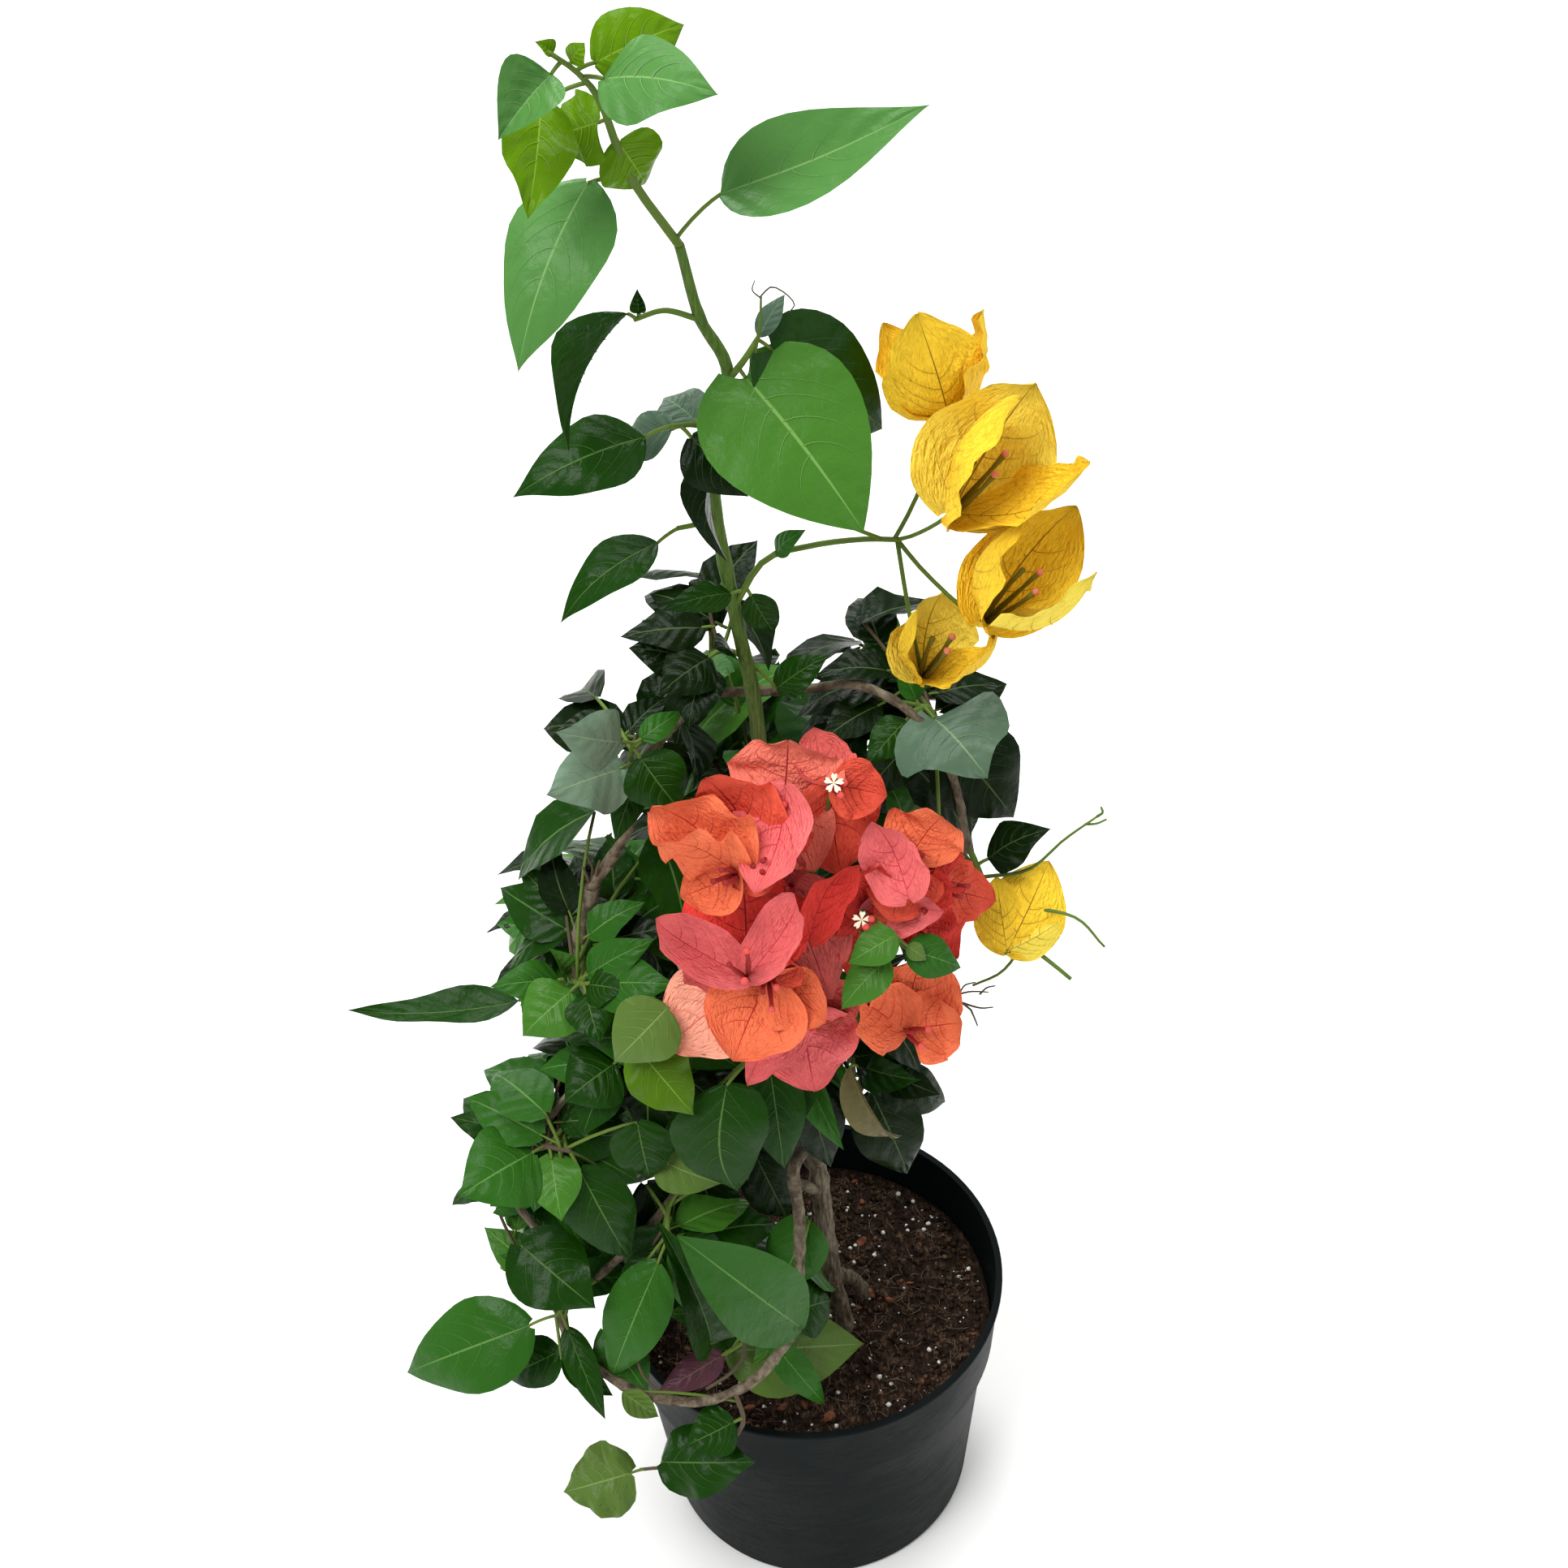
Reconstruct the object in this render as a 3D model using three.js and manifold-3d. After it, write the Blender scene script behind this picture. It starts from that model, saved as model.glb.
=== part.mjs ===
// A climbing bougainvillea in its nursery pot, millimetres, +Z up.
// The origin is the centre of the pot's flat underside, -Y is the side that the blooms face.

import * as THREE from 'three';
import { mergeVertices } from 'three/addons/utils/BufferGeometryUtils.js';
import Module from 'manifold-3d';

const wasm = await Module();
wasm.setup();

// Pot and soil
const RIM_RADIUS = 105;
const COLLAR_FOOT_RADIUS = 100.5;
const BODY_TOP_RADIUS = 96.5;
const FOOT_RADIUS = 86;
const POT_HEIGHT = 165;
const COLLAR_HEIGHT = 45;
const STEP_DROP = 3;
const LIP_HEIGHT = 4;
const LIP_OVERHANG = 1.5;
const WALL = 2.2;
const FOOT_CHAMFER = 2;
const FLOOR_THICKNESS = 3;
const SOIL_TOP = 133;
const POT_SEGMENTS = 26;

// Clearances between neighbouring solids, and the room that leaves of two masses leave each other
const GAP = 0.3;
const LEAF_ROOM = 1.2;

// Corners closer together than this become one. A piece whose joint then doesn't close cleanly is tried
// again, each time moved by a further share of its stalk and, for a bloom, turned by a few degrees.
const WELD = 0.001;
const JOIN_MOVE = 0.015;
const JOIN_TRIES = 9;
const SPIN_MOVE = 130;

// The block that cuts the trunk's feet flat at soil level
const CUT_HALF_WIDTH = 60;
const CUT_DEPTH = 40;

// Limbs
const LIMB_SIDES = 5;
const STEM_SIDES = 4;
const TWIG_SIDES = 3;
const STEPS_PER_STRETCH = 2;
const SPRIG_RADII = [0.9, 0.7];
const LAST_SEAT = 0.97;

// Leaves: shares of the blade's length or width
const PETIOLE_SHARE = 0.17;
const PETIOLE_RADIUS = 0.8;
const STALK_DEPTH_TO_RADIUS = 1.6;
const BLADE_STATIONS = [0.22, 0.6];
const SMALL_BLADE_STATIONS = [0.38];
const BLADE_THICKNESS = 0.018;
const LEAF_BULGE = 0.1;
const LEAF_SHAPE = { root: 0.55, point: 1.1 };
const LEAF_LENGTH_TO_WIDTH = 1.6;

// Blooms: three papery bracts round a bundle of tubes, on a slim pedicel
const BRACT_SHAPE = { root: 0.5, point: 0.62 };
const BRACTS = 3;
const BRACT_STATIONS = [0.24, 0.66];
const BRACT_OPENINGS = [34, 24, 14].map(THREE.MathUtils.degToRad);
const BRACT_WIDTH = 0.84;
const BRACT_BULGE = -0.16;
const BRACT_THICKNESS = 0.022;
const BLOOM_DEPTH = 0.35;
const PEDICEL_END = 0.1;
const PEDICEL_RADIUS = 1;
const TUBE_LENGTH = 0.5;
const TUBE_RADIUS = 1.6;

// Twigs that grow by rule. Each pair holds the least and the most of a random choice.
const TWIG_RULE = {
  radius: 0.95,
  tries: 8,
  seat: [0.5, 0.95],
  turn: [0, 1],
  tip: [0.72, 1],
  stray: [-0.6, 0.6],
  lift: [-0.9, 0.2],
  sideways: [0.7, 1.5],
  size: [0.8, 1.15],
  facingUp: 1.1,
};

const UP = new THREE.Vector3(0, 0, 1);
const TOWARDS_LIGHT = new THREE.Vector3(0, -0.6, 0.8);
const FULL_TURN = 2 * Math.PI;
const GOLDEN_TURN = FULL_TURN * 0.381966;

const COLOURS = {
  pot: { color: '#2b3033', roughness: 0.55, metalness: 0 },
  soil: { color: '#3a2a20', roughness: 1, metalness: 0 },
  bark: { color: '#6e6358', roughness: 0.9, metalness: 0 },
  green_stem: { color: '#54682a', roughness: 0.7, metalness: 0 },
  leaf: { color: '#3c7a2c', roughness: 0.5, metalness: 0 },
  coral_bloom: { color: '#ea6a55', roughness: 0.7, metalness: 0 },
  yellow_bloom: { color: '#f5b31c', roughness: 0.7, metalness: 0 },
};

// Limbs, each from the limb that carries it to its tip. Radii are at its root and its tip.
const LIMBS = {
  leader: {
    finish: 'green_stem', radii: [4.4, 2.4],
    path: [[5, -9, 296], [-1, 3, 400], [-6, 4, 480], [-8, 2, 560], [-13, -8, 615],
      [-18, -15, 685], [-9, -15, 733], [-18, -20, 762], [-23, -25, 794]],
  },
  left_stem: {
    finish: 'bark', radii: [3.8, 3.8],
    path: [[6, -10, 284], [-38, -18, 335], [-78, -26, 385], [-96, -25, 435], [-86, -20, 480]],
  },
  arch_left: {
    finish: 'bark', radii: [2.6, 2.1],
    path: [[-86, -20, 480], [-67, -15, 509], [-57, -10, 542], [-40, 2, 556], [-25, 13, 560]],
  },
  arch_right: {
    finish: 'bark', radii: [2.1, 1.7],
    path: [[-25, 13, 560], [8, 20, 553], [38, 5, 565], [62, -18, 562], [76, -20, 530], [83, -20, 487]],
  },
  hoop_down: {
    finish: 'bark', radii: [3.2, 2.6],
    path: [[9, -12, 268], [6, -40, 318], [-4, -60, 324], [-3, -70, 297], [-6, -85, 256], [-10, -95, 240]],
  },
  hoop_front: {
    finish: 'bark', radii: [2.6, 2.3],
    path: [[-10, -95, 240], [-30, -108, 223], [-58, -115, 218], [-90, -110, 224], [-121, -90, 233]],
  },
  hoop_up: {
    finish: 'bark', radii: [2.3, 1.9],
    path: [[-121, -90, 233], [-124, -74, 254], [-122, -62, 273], [-138, -58, 306], [-130, -58, 345],
      [-111, -58, 378], [-82, -50, 401]],
  },
  low_stem: {
    finish: 'bark', radii: [2.9, 2],
    path: [[9, -13, 248], [-20, -40, 296], [-54, -57, 314], [-80, -68, 290], [-104, -75, 268]],
  },
  right_stem: {
    finish: 'bark', radii: [3, 2.2],
    path: [[7, -11, 284], [40, -4, 335], [62, 6, 385], [64, 14, 420]],
  },
  back_stem: {
    finish: 'bark', radii: [3, 2.2],
    path: [[7, -11, 274], [10, 30, 335], [4, 54, 385], [-6, 60, 425]],
  },
  back_left_stem: {
    finish: 'bark', radii: [2.9, 2],
    path: [[9, -12, 258], [-28, 20, 300], [-62, 36, 335], [-78, 40, 362]],
  },
};

const TRUNK = {
  radii: [5.6, 4.6], path: [[12, -14, 176], [10, -13, 215], [8, -12, 262], [5, -9, 296]],
  legs: [
    { radii: [5.2, 3.4], path: [[18, -18, SOIL_TOP + GAP], [17, -17, 152], [12, -14, 184]] },
    { radii: [4.6, 3], path: [[29, 5, SOIL_TOP + GAP], [25, 0, 153], [12, -14, 182]] },
  ],
};

// Masses. A leaf is [place along the stem, tip x, y, z, blade width, roll in degrees], and last, if it
// has a petiole of its own, that petiole's share of the leaf or its end.
// A bloom is [place along the stem, centre x, y, z, facing x, y, z, bract length, spin in degrees].
// Twigs that grow by rule fill the space, an ellipsoid given by its centre and its three reaches.
const MASSES = {
  top_shoot: {
    finish: 'leaf', root: 'leader', radii: [2.2, 0.9],
    path: [[-23, -25, 794], [-38, -35, 827], [-44, -45, 857], [-50, -52, 871], [-58, -62, 883]],
    leaves: [[0.02, 67, -47, 849, 36, 6, [-7, -30, 815]], [0.25, -82, -76, 778, 38, 8, [-48, -38, 826]],
      [0.4, -32, -28, 818, 26, 25], [0.45, -62, -36, 842, 26, -20], [0.74, -6, -72, 872, 32, 0],
      [0.8, -14, -32, 878, 26, 20], [0.92, -76, -77, 862, 22, -10],
      [0.68, -70, -76, 833, 24, -20, [-64, -46, 859]], [0.86, -47, -56, 883, 9, 0],
      [0.97, -62, -60, 886, 6, 0]],
  },
  folded_leaf: {
    finish: 'leaf', root: 'leader', radii: [1.2, 1],
    path: [[-18, -20, 761], [-30, -28, 770], [-41, -35, 771]],
    leaves: [[1, -71, -55, 731, 27, 62], [0.95, -39, -33, 782, 6, 0]],
  },
  heart_leaves: {
    finish: 'leaf', root: 'leader', radii: [1.5, 1.1],
    path: [[-10, -15, 731], [-3, -19, 742], [3, -15, 749]],
    leaves: [[0.35, 34, -62, 690, 64, 0, 0.02], [1, 50, -2, 698, 46, 10, 0.1], [0.9, 14, -2, 760, 9, 0]],
  },
  dark_leaves: {
    finish: 'leaf', root: 'leader', radii: [1.4, 1],
    path: [[-13, -15, 708], [-22, -23, 718], [-32, -29, 722]],
    leaves: [[1, -92, -50, 711, 30, 0], [0.85, -4, -38, 694, 26, 10], [0.2, -16, -38, 664, 17, 55],
      [0.75, -57, -3, 696, 20, 0], [0.4, -36, 4, 716, 22, 0]],
  },
  long_leaf: {
    finish: 'leaf', root: 'leader', radii: [1.2, 1],
    path: [[-17, -14, 669], [-25, -20, 671], [-33, -25, 673]],
    leaves: [[1, -83, -46, 650, 24, 18]],
  },
  yellow_spray: {
    finish: 'yellow_bloom', root: 'leader', radii: [1.4, 1.1],
    path: [[-13, -10, 623], [0, -15, 648], [19, -18, 656], [39, -20, 659], [55, -22, 659]],
    sprigs: [{ at: 0.9, path: [[29, -28, 674], [2, -26, 690]] }],
    leaves: [[0.08, -41, -30, 639, 14, 0], [0.3, 16, -24, 668, 10, 0], [0.1, 3, -6, 603, 15, 20]],
    blooms: [[0.98, 68, -2, 718, 0, 0.96, 0.27, 46, -90], [1, 85, -42, 702, 0.5, -0.5, 0.65, 48, 60],
      [1, 98, -48, 650, 0.55, -0.35, 0.75, 46, 40], [1, 66, -42, 614, 0.25, -0.5, 0.8, 38, 100]],
  },
  collar_back: {
    finish: 'leaf', root: 'leader', radii: [1.5, 1],
    path: [[-9, 0, 588], [-20, 6, 588], [-30, 8, 582]],
    leaves: [[0.3, -22, -15, 607, 15, 0], [0.6, -47, -16, 585, 26, 0], [0.8, -37, -22, 570, 24, 15],
      [1, -60, 10, 590, 22, 0]],
    twigs: { count: 4, leaves: 2, leaf: 44, seed: 11 },
    space: { centre: [-28, 30, 590], reach: [50, 48, 42] },
  },
  collar_left: {
    finish: 'leaf', root: 'arch_left', radii: [1.4, 1],
    path: [[-58, -11, 539], [-62, -20, 552], [-60, -25, 566]],
    leaves: [[1, -86, -52, 595, 27, -30], [0.95, -38, -10, 570, 12, 0], [0.9, -42, -34, 533, 29, 12],
      [0.35, -96, -52, 563, 33, -15], [0.1, -72, -36, 520, 15, 0]],
    twigs: { count: 4, leaves: 2, leaf: 48, seed: 132 },
    space: { centre: [-58, 24, 530], reach: [50, 52, 48] },
  },
  collar_right: {
    finish: 'leaf', root: 'arch_right', radii: [1.6, 1],
    path: [[57, -14, 563], [66, -6, 560], [70, -2, 548]],
    leaves: [[0.4, 86, -62, 566, 52, 0], [1, 105, -14, 498, 44, 10], [0.9, 36, -4, 508, 24, 0],
      [0.15, 38, -30, 550, 18, 0], [0.3, 54, 4, 580, 12, 0]],
    twigs: { count: 6, leaves: 2, leaf: 58, seed: 16 },
    space: { centre: [52, 32, 528], reach: [64, 56, 58] },
  },
  coral_blooms: {
    finish: 'coral_bloom', root: 'leader', radii: [2.2, 1.6],
    path: [[-6, 4, 478], [2, -34, 498], [10, -62, 512]],
    blooms: [[1, 2, -66, 572, -0.1, -0.45, 0.85, 46, 30], [1, 30, -58, 554, 0.3, -0.4, 0.8, 44, 80],
      [0.9, -34, -88, 554, -0.5, -0.6, 0.5, 42, 50], [0.95, -10, -92, 556, -0.1, -0.8, 0.6, 40, 10],
      [1, 56, -60, 532, 0.3, -0.6, 0.75, 42, 0], [0.9, 76, -60, 498, 0.7, -0.5, 0.4, 38, 40],
      [0.85, -24, -104, 528, -0.1, -0.9, 0.5, 46, 30], [0.8, 10, -86, 508, 0.1, -0.8, 0.5, 42, 70],
      [0.7, -36, -92, 470, -0.5, -0.7, 0, 42, 0], [0.8, -12, -104, 484, 0, -0.9, 0.3, 44, 90],
      [0.7, 14, -90, 450, 0.1, -0.8, -0.2, 44, 60], [0.75, 50, -84, 454, 0.25, -0.8, 0.4, 44, 90],
      [0.95, 34, -82, 528, 0.2, -0.8, 0.3, 36, 20], [0.85, 56, -78, 498, 0.3, -0.8, 0.3, 38, 70]],
    leaves: [[0.9, 28, -98, 496, 20, 0], [0.85, 24, -104, 474, 20, 10], [0.9, 66, -88, 484, 20, 0]],
  },
  right_twigs: {
    finish: 'green_stem', root: 'arch_right', radii: [1.5, 0.9],
    path: [[83, -20, 489], [97, -42, 464], [125, -58, 441]],
    sprigs: [{ at: 0.2, path: [[108, -33, 486], [122, -40, 509], [135, -45, 526]] },
      { at: 0.4, path: [[125, -48, 471], [140, -54, 456]] },
      { at: 0.5, path: [[103, -44, 450], [96, -44, 434], [83, -42, 424]] }],
    blooms: [[0.45, 108, -40, 466, 0.3, 0.3, 0.8, 34, 20]],
    leaves: [[0.12, 115, -32, 510, 24, -20]],
  },
  left_upper_leaves: {
    finish: 'leaf', root: 'left_stem', radii: [1.8, 1.1],
    path: [[-95, -26, 426], [-100, -38, 440], [-92, -50, 448]],
    leaves: [[0.35, -202, -46, 437, 21, 20], [0.4, -134, -46, 447, 20, 0], [0.9, -122, -62, 430, 30, 0],
      [1, -86, -76, 438, 23, 0], [0.95, -74, -62, 456, 21, 0], [0.8, -60, -50, 474, 20, 0],
      [0.5, -106, -40, 462, 12, 30], [0.95, -52, -66, 462, 27, 0]],
    twigs: { count: 7, leaves: 2, leaf: 60, seed: 21 },
    space: { centre: [-78, -2, 446], reach: [62, 48, 46] },
  },
  left_middle_leaves: {
    finish: 'leaf', root: 'hoop_up', radii: [1.7, 1.1],
    path: [[-84, -51, 400], [-78, -58, 408], [-72, -66, 414]],
    leaves: [[0.5, -106, -74, 398, 33, 0], [0.6, -48, -88, 440, 30, -10], [1, -60, -92, 393, 30, 0],
      [0.2, -100, -78, 378, 24, 10]],
    twigs: { count: 8, leaves: 2, leaf: 62, seed: 22 },
    space: { centre: [-64, -46, 390], reach: [58, 46, 46] },
  },
  left_lower_leaves: {
    finish: 'leaf', root: 'hoop_up', radii: [1.8, 1.1],
    path: [[-124, -58, 358], [-118, -70, 364], [-106, -78, 368]],
    leaves: [[0.15, -168, -68, 322, 27, 25], [0.5, -156, -98, 366, 42, 0], [0.25, -162, -60, 376, 22, 10],
      [1, -84, -92, 300, 33, 0], [0.8, -108, -86, 304, 18, 30], [0.6, -112, -100, 345, 26, 0]],
    twigs: { count: 9, leaves: 2, leaf: 62, seed: 23 },
    space: { centre: [-112, -40, 346], reach: [58, 48, 54] },
  },
  front_middle_leaves: {
    finish: 'leaf', root: 'leader', radii: [2, 1.2],
    path: [[0, 1, 382], [-4, -38, 408], [-18, -72, 418]],
    leaves: [[1, -24, -98, 350, 44, 0], [0.85, -8, -86, 352, 28, 0], [0.6, 15, -64, 322, 34, 0],
      [0.55, 20, -68, 342, 15, 15]],
    twigs: { count: 9, leaves: 2, leaf: 62, seed: 24 },
    space: { centre: [-20, -48, 366], reach: [56, 44, 48] },
  },
  right_low_leaves: {
    finish: 'leaf', root: 'leader', radii: [1.8, 1.1],
    path: [[3, -5, 330], [22, -22, 346], [36, -24, 348]],
    leaves: [[0.95, 50, -50, 324, 15, 50], [0.9, 54, -34, 278, 36, 0], [1, 76, -12, 308, 27, 10]],
    twigs: { count: 5, leaves: 2, leaf: 56, seed: 145 },
    space: { centre: [36, -18, 372], reach: [46, 44, 52] },
  },
  front_left_leaves: {
    finish: 'leaf', root: 'low_stem', radii: [1.7, 1.1],
    path: [[-65, -62, 308], [-66, -74, 311], [-66, -84, 306]],
    leaves: [[0.8, -46, -82, 226, 23, 0], [1, -102, -108, 226, 32, 0], [0.4, -82, -80, 256, 32, 0]],
    twigs: { count: 9, leaves: 2, leaf: 62, seed: 26 },
    space: { centre: [-66, -58, 262], reach: [54, 44, 50] },
  },
  front_low_leaves: {
    finish: 'leaf', root: 'hoop_down', radii: [1.8, 1.1],
    path: [[-6, -85, 256], [-22, -80, 228], [-46, -82, 208]],
    leaves: [[0.12, -64, -112, 304, 47, 0], [1, 27, -62, 190, 50, 0],
      [0.3, 12, -62, 222, 32, 0], [0.6, 6, -92, 170, 17, 0], [0.9, -80, -100, 204, 18, 0]],
    twigs: { count: 8, leaves: 2, leaf: 58, seed: 27 },
    space: { centre: [-34, -48, 222], reach: [50, 42, 50] },
  },
  left_low_leaves: {
    finish: 'leaf', root: 'low_stem', radii: [1.7, 1.1],
    path: [[-104, -75, 268], [-114, -80, 264], [-126, -86, 254]],
    leaves: [[0.6, -142, -104, 262, 41, 0], [1, -210, -82, 208, 47, 0], [0.9, -104, -122, 216, 16, 0]],
    twigs: { count: 8, leaves: 2, leaf: 58, seed: 228 },
    space: { centre: [-122, -46, 262], reach: [48, 46, 48] },
  },
  hanging_leaves: {
    finish: 'leaf', root: 'hoop_front', radii: [1.3, 0.9],
    path: [[-40, -112, 221], [-38, -118, 198], [-62, -119, 172], [-92, -114, 160]],
    leaves: [[0.85, -34, -130, 176, 37, 0], [1, -132, -118, 150, 39, 0], [0.25, -66, -128, 200, 26, 0]],
  },
  right_leaves: {
    finish: 'leaf', root: 'right_stem', radii: [1.8, 1.1],
    path: [[64, 14, 419], [62, 20, 436], [56, 26, 450]],
    twigs: { count: 9, leaves: 2, leaf: 66, seed: 151 },
    space: { centre: [46, 42, 428], reach: [64, 66, 70] },
  },
  back_leaves: {
    finish: 'leaf', root: 'back_stem', radii: [1.8, 1.1],
    path: [[-6, 60, 424], [-10, 62, 445], [-12, 64, 462]],
    twigs: { count: 10, leaves: 2, leaf: 66, seed: 32 },
    space: { centre: [-14, 74, 460], reach: [78, 62, 84] },
  },
  back_left_leaves: {
    finish: 'leaf', root: 'back_left_stem', radii: [1.8, 1.1],
    path: [[-78, 40, 361], [-84, 44, 380], [-88, 46, 396]],
    twigs: { count: 10, leaves: 2, leaf: 66, seed: 38 },
    space: { centre: [-92, 44, 386], reach: [74, 64, 72] },
  },
  back_low_leaves: {
    finish: 'leaf', root: 'back_left_stem', radii: [1.7, 1.1],
    path: [[-32, 22, 304], [-46, 30, 296], [-58, 32, 284]],
    twigs: { count: 9, leaves: 2, leaf: 64, seed: 134 },
    space: { centre: [-62, 42, 272], reach: [70, 64, 58] },
  },
};

const vector = ([x, y, z]) => new THREE.Vector3(x, y, z);

// Random numbers from a seed, the same every time
function seeded(seed) {
  let state = seed;
  return () => {
    state = (state + 0x6d2b79f5) | 0;
    let mixed = Math.imul(state ^ (state >>> 15), 1 | state);
    mixed = (mixed + Math.imul(mixed ^ (mixed >>> 7), 61 | mixed)) ^ mixed;
    return ((mixed ^ (mixed >>> 14)) >>> 0) / 4294967296;
  };
}

// A closed solid from rings of points, with a point that closes each end
function loft(rings, first, last) {
  const sides = rings[0].length;
  const points = [first, ...rings.flat(), last];
  const end = points.length - 1;
  const at = (ring, side) => 1 + ring * sides + (side % sides);
  const faces = [];
  for (let side = 0; side < sides; side += 1) {
    faces.push(0, at(0, side + 1), at(0, side));
    faces.push(end, at(rings.length - 1, side), at(rings.length - 1, side + 1));
    for (let ring = 0; ring + 1 < rings.length; ring += 1) {
      faces.push(at(ring, side), at(ring, side + 1), at(ring + 1, side));
      faces.push(at(ring, side + 1), at(ring + 1, side + 1), at(ring + 1, side));
    }
  }
  const vertProperties = new Float32Array(points.flatMap((point) => point.toArray()));
  const triVerts = new Uint32Array(faces);
  return new wasm.Manifold(new wasm.Mesh({ numProp: 3, vertProperties, triVerts }));
}

const curveOf = (path) => new THREE.CatmullRomCurve3(path.map(vector), false, 'catmullrom', 0.5);

// A round limb along a path, tapering from its root to its tip. Extra room makes it thicker and longer.
function limb(path, [rootRadius, tipRadius], sides, room = 0) {
  const curve = curveOf(path);
  const steps = path.length === 2 ? 1 : (path.length - 1) * STEPS_PER_STRETCH;
  const across = new THREE.Vector3(1, 0, 0);
  const rings = [];
  for (let step = 0; step <= steps; step += 1) {
    const share = step / steps;
    const along = curve.getTangent(share);
    const centre = curve.getPoint(share);
    if (step === 0) centre.addScaledVector(along, -room);
    if (step === steps) centre.addScaledVector(along, room);
    across.addScaledVector(along, -across.dot(along)).normalize();
    const beside = along.clone().cross(across);
    const radius = THREE.MathUtils.lerp(rootRadius, tipRadius, share) + room;
    rings.push(Array.from({ length: sides }, (_, side) => {
      const turn = FULL_TURN * side / sides;
      return centre.clone()
        .addScaledVector(across, radius * Math.cos(turn))
        .addScaledVector(beside, radius * Math.sin(turn));
    }));
  }
  const middle = (ring) => ring
    .reduce((sum, point) => sum.add(point), new THREE.Vector3())
    .divideScalar(sides);
  return loft(rings, middle(rings[0]), middle(rings[steps]));
}

// Half the width of a blade at a share of its length, as a share of its widest place
function halfWidth(share, { root, point }) {
  const widest = root / (root + point);
  const height = (place) => place ** root * (1 - place) ** point;
  return height(share) / height(widest);
}

// A leaf's or a bract's blade: two edges and a keel under its midrib, on a stalk if it has one
function blade({ base, tip, facing, width, shape, bulge, thickness, stations, stalk }) {
  const along = tip.clone().sub(base);
  const length = along.length();
  const across = along.clone().cross(facing).normalize();
  const out = across.clone().cross(along).normalize();
  const ring = (centre, half, depth) => [
    centre.clone().addScaledVector(across, half).addScaledVector(out, depth / 2),
    centre.clone().addScaledVector(out, -depth / 2),
    centre.clone().addScaledVector(across, -half).addScaledVector(out, depth / 2),
  ];
  const rings = stations.map((share) => {
    const centre = base.clone()
      .addScaledVector(along, share)
      .addScaledVector(out, bulge * length * 4 * share * (1 - share));
    return ring(centre, 0.5 * width * halfWidth(share, shape), thickness * length);
  });
  if (!stalk) return loft(rings, base, tip);
  const stalkDepth = stalk.radius * STALK_DEPTH_TO_RADIUS;
  const stalkRings = [stalk.seat, base].map((centre) => ring(centre, stalk.radius, stalkDepth));
  return loft([...stalkRings, ...rings], stalk.seat, tip);
}

// A leaf: its blade from base to tip, and its petiole or twig from its seat in a stem to the blade's base
function leaf({ seat, base, tip, width, facing, stations, stalkRadius = PETIOLE_RADIUS, room = 0 }) {
  const reach = tip.clone().sub(base);
  const ahead = reach.clone().normalize();
  return blade({
    base,
    tip: tip.clone().addScaledVector(ahead, room),
    facing,
    width: width + 2 * room,
    shape: LEAF_SHAPE,
    bulge: LEAF_BULGE,
    thickness: BLADE_THICKNESS + room / reach.length(),
    stations,
    stalk: { seat, radius: stalkRadius + room },
  });
}

// The way a named leaf's upper face looks: towards the light, rolled about the leaf's own length
function facingOf(base, tip, roll) {
  const axis = tip.clone().sub(base).normalize();
  return TOWARDS_LIGHT.clone().applyAxisAngle(axis, THREE.MathUtils.degToRad(roll));
}

// One bract of a bloom, opening away from the bloom's axis
function bract({ base, axis, outward, size, opening }) {
  return blade({
    base,
    tip: base.clone()
      .addScaledVector(axis, size * Math.cos(opening))
      .addScaledVector(outward, size * Math.sin(opening)),
    facing: axis.clone().sub(outward),
    width: BRACT_WIDTH * size,
    shape: BRACT_SHAPE,
    bulge: BRACT_BULGE,
    thickness: BRACT_THICKNESS,
    stations: BRACT_STATIONS,
  });
}

// Three bracts round the bloom's axis on a pedicel, with the tubes between them as one slim spike.
// A bract that would run into a neighbouring bloom is more closed, or is left out if that isn't enough.
function bloom({ seat, centre, facing, size, spin }, neighbours) {
  const axis = facing.clone().normalize();
  const base = centre.clone().addScaledVector(axis, -BLOOM_DEPTH * size);
  const sideways = axis.clone().cross(Math.abs(axis.z) > 0.9 ? new THREE.Vector3(0, 1, 0) : UP).normalize();
  const root = base.clone().addScaledVector(axis, PEDICEL_END * size);
  const tubesEnd = base.clone().addScaledVector(axis, TUBE_LENGTH * size);
  let solid = limb([seat.toArray(), root.toArray()], [PEDICEL_RADIUS, PEDICEL_RADIUS], TWIG_SIDES);
  solid = solid.add(limb([base.toArray(), tubesEnd.toArray()], [TUBE_RADIUS, TUBE_RADIUS], TWIG_SIDES));
  for (let index = 0; index < BRACTS; index += 1) {
    const turn = THREE.MathUtils.degToRad(spin) + FULL_TURN * index / BRACTS;
    const outward = sideways.clone().applyAxisAngle(axis, turn);
    const fitting = BRACT_OPENINGS
      .map((opening) => bract({ base, axis, outward, size, opening }))
      .find((candidate) => clearOf(candidate, neighbours));
    if (fitting) solid = solid.add(fitting);
  }
  return solid;
}

const clearOf = (solid, others) => others.every((other) => solid.intersect(other).isEmpty());

function geometryFrom(positions, corners) {
  const geometry = new THREE.BufferGeometry();
  geometry.setAttribute('position', new THREE.BufferAttribute(positions, 3));
  geometry.setIndex(corners);
  return geometry;
}

// A solid's surface with its near corners welded
function weldedSurface(solid) {
  const { vertProperties, triVerts } = solid.getMesh();
  return mergeVertices(geometryFrom(vertProperties, Array.from(triVerts)), WELD);
}

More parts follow.
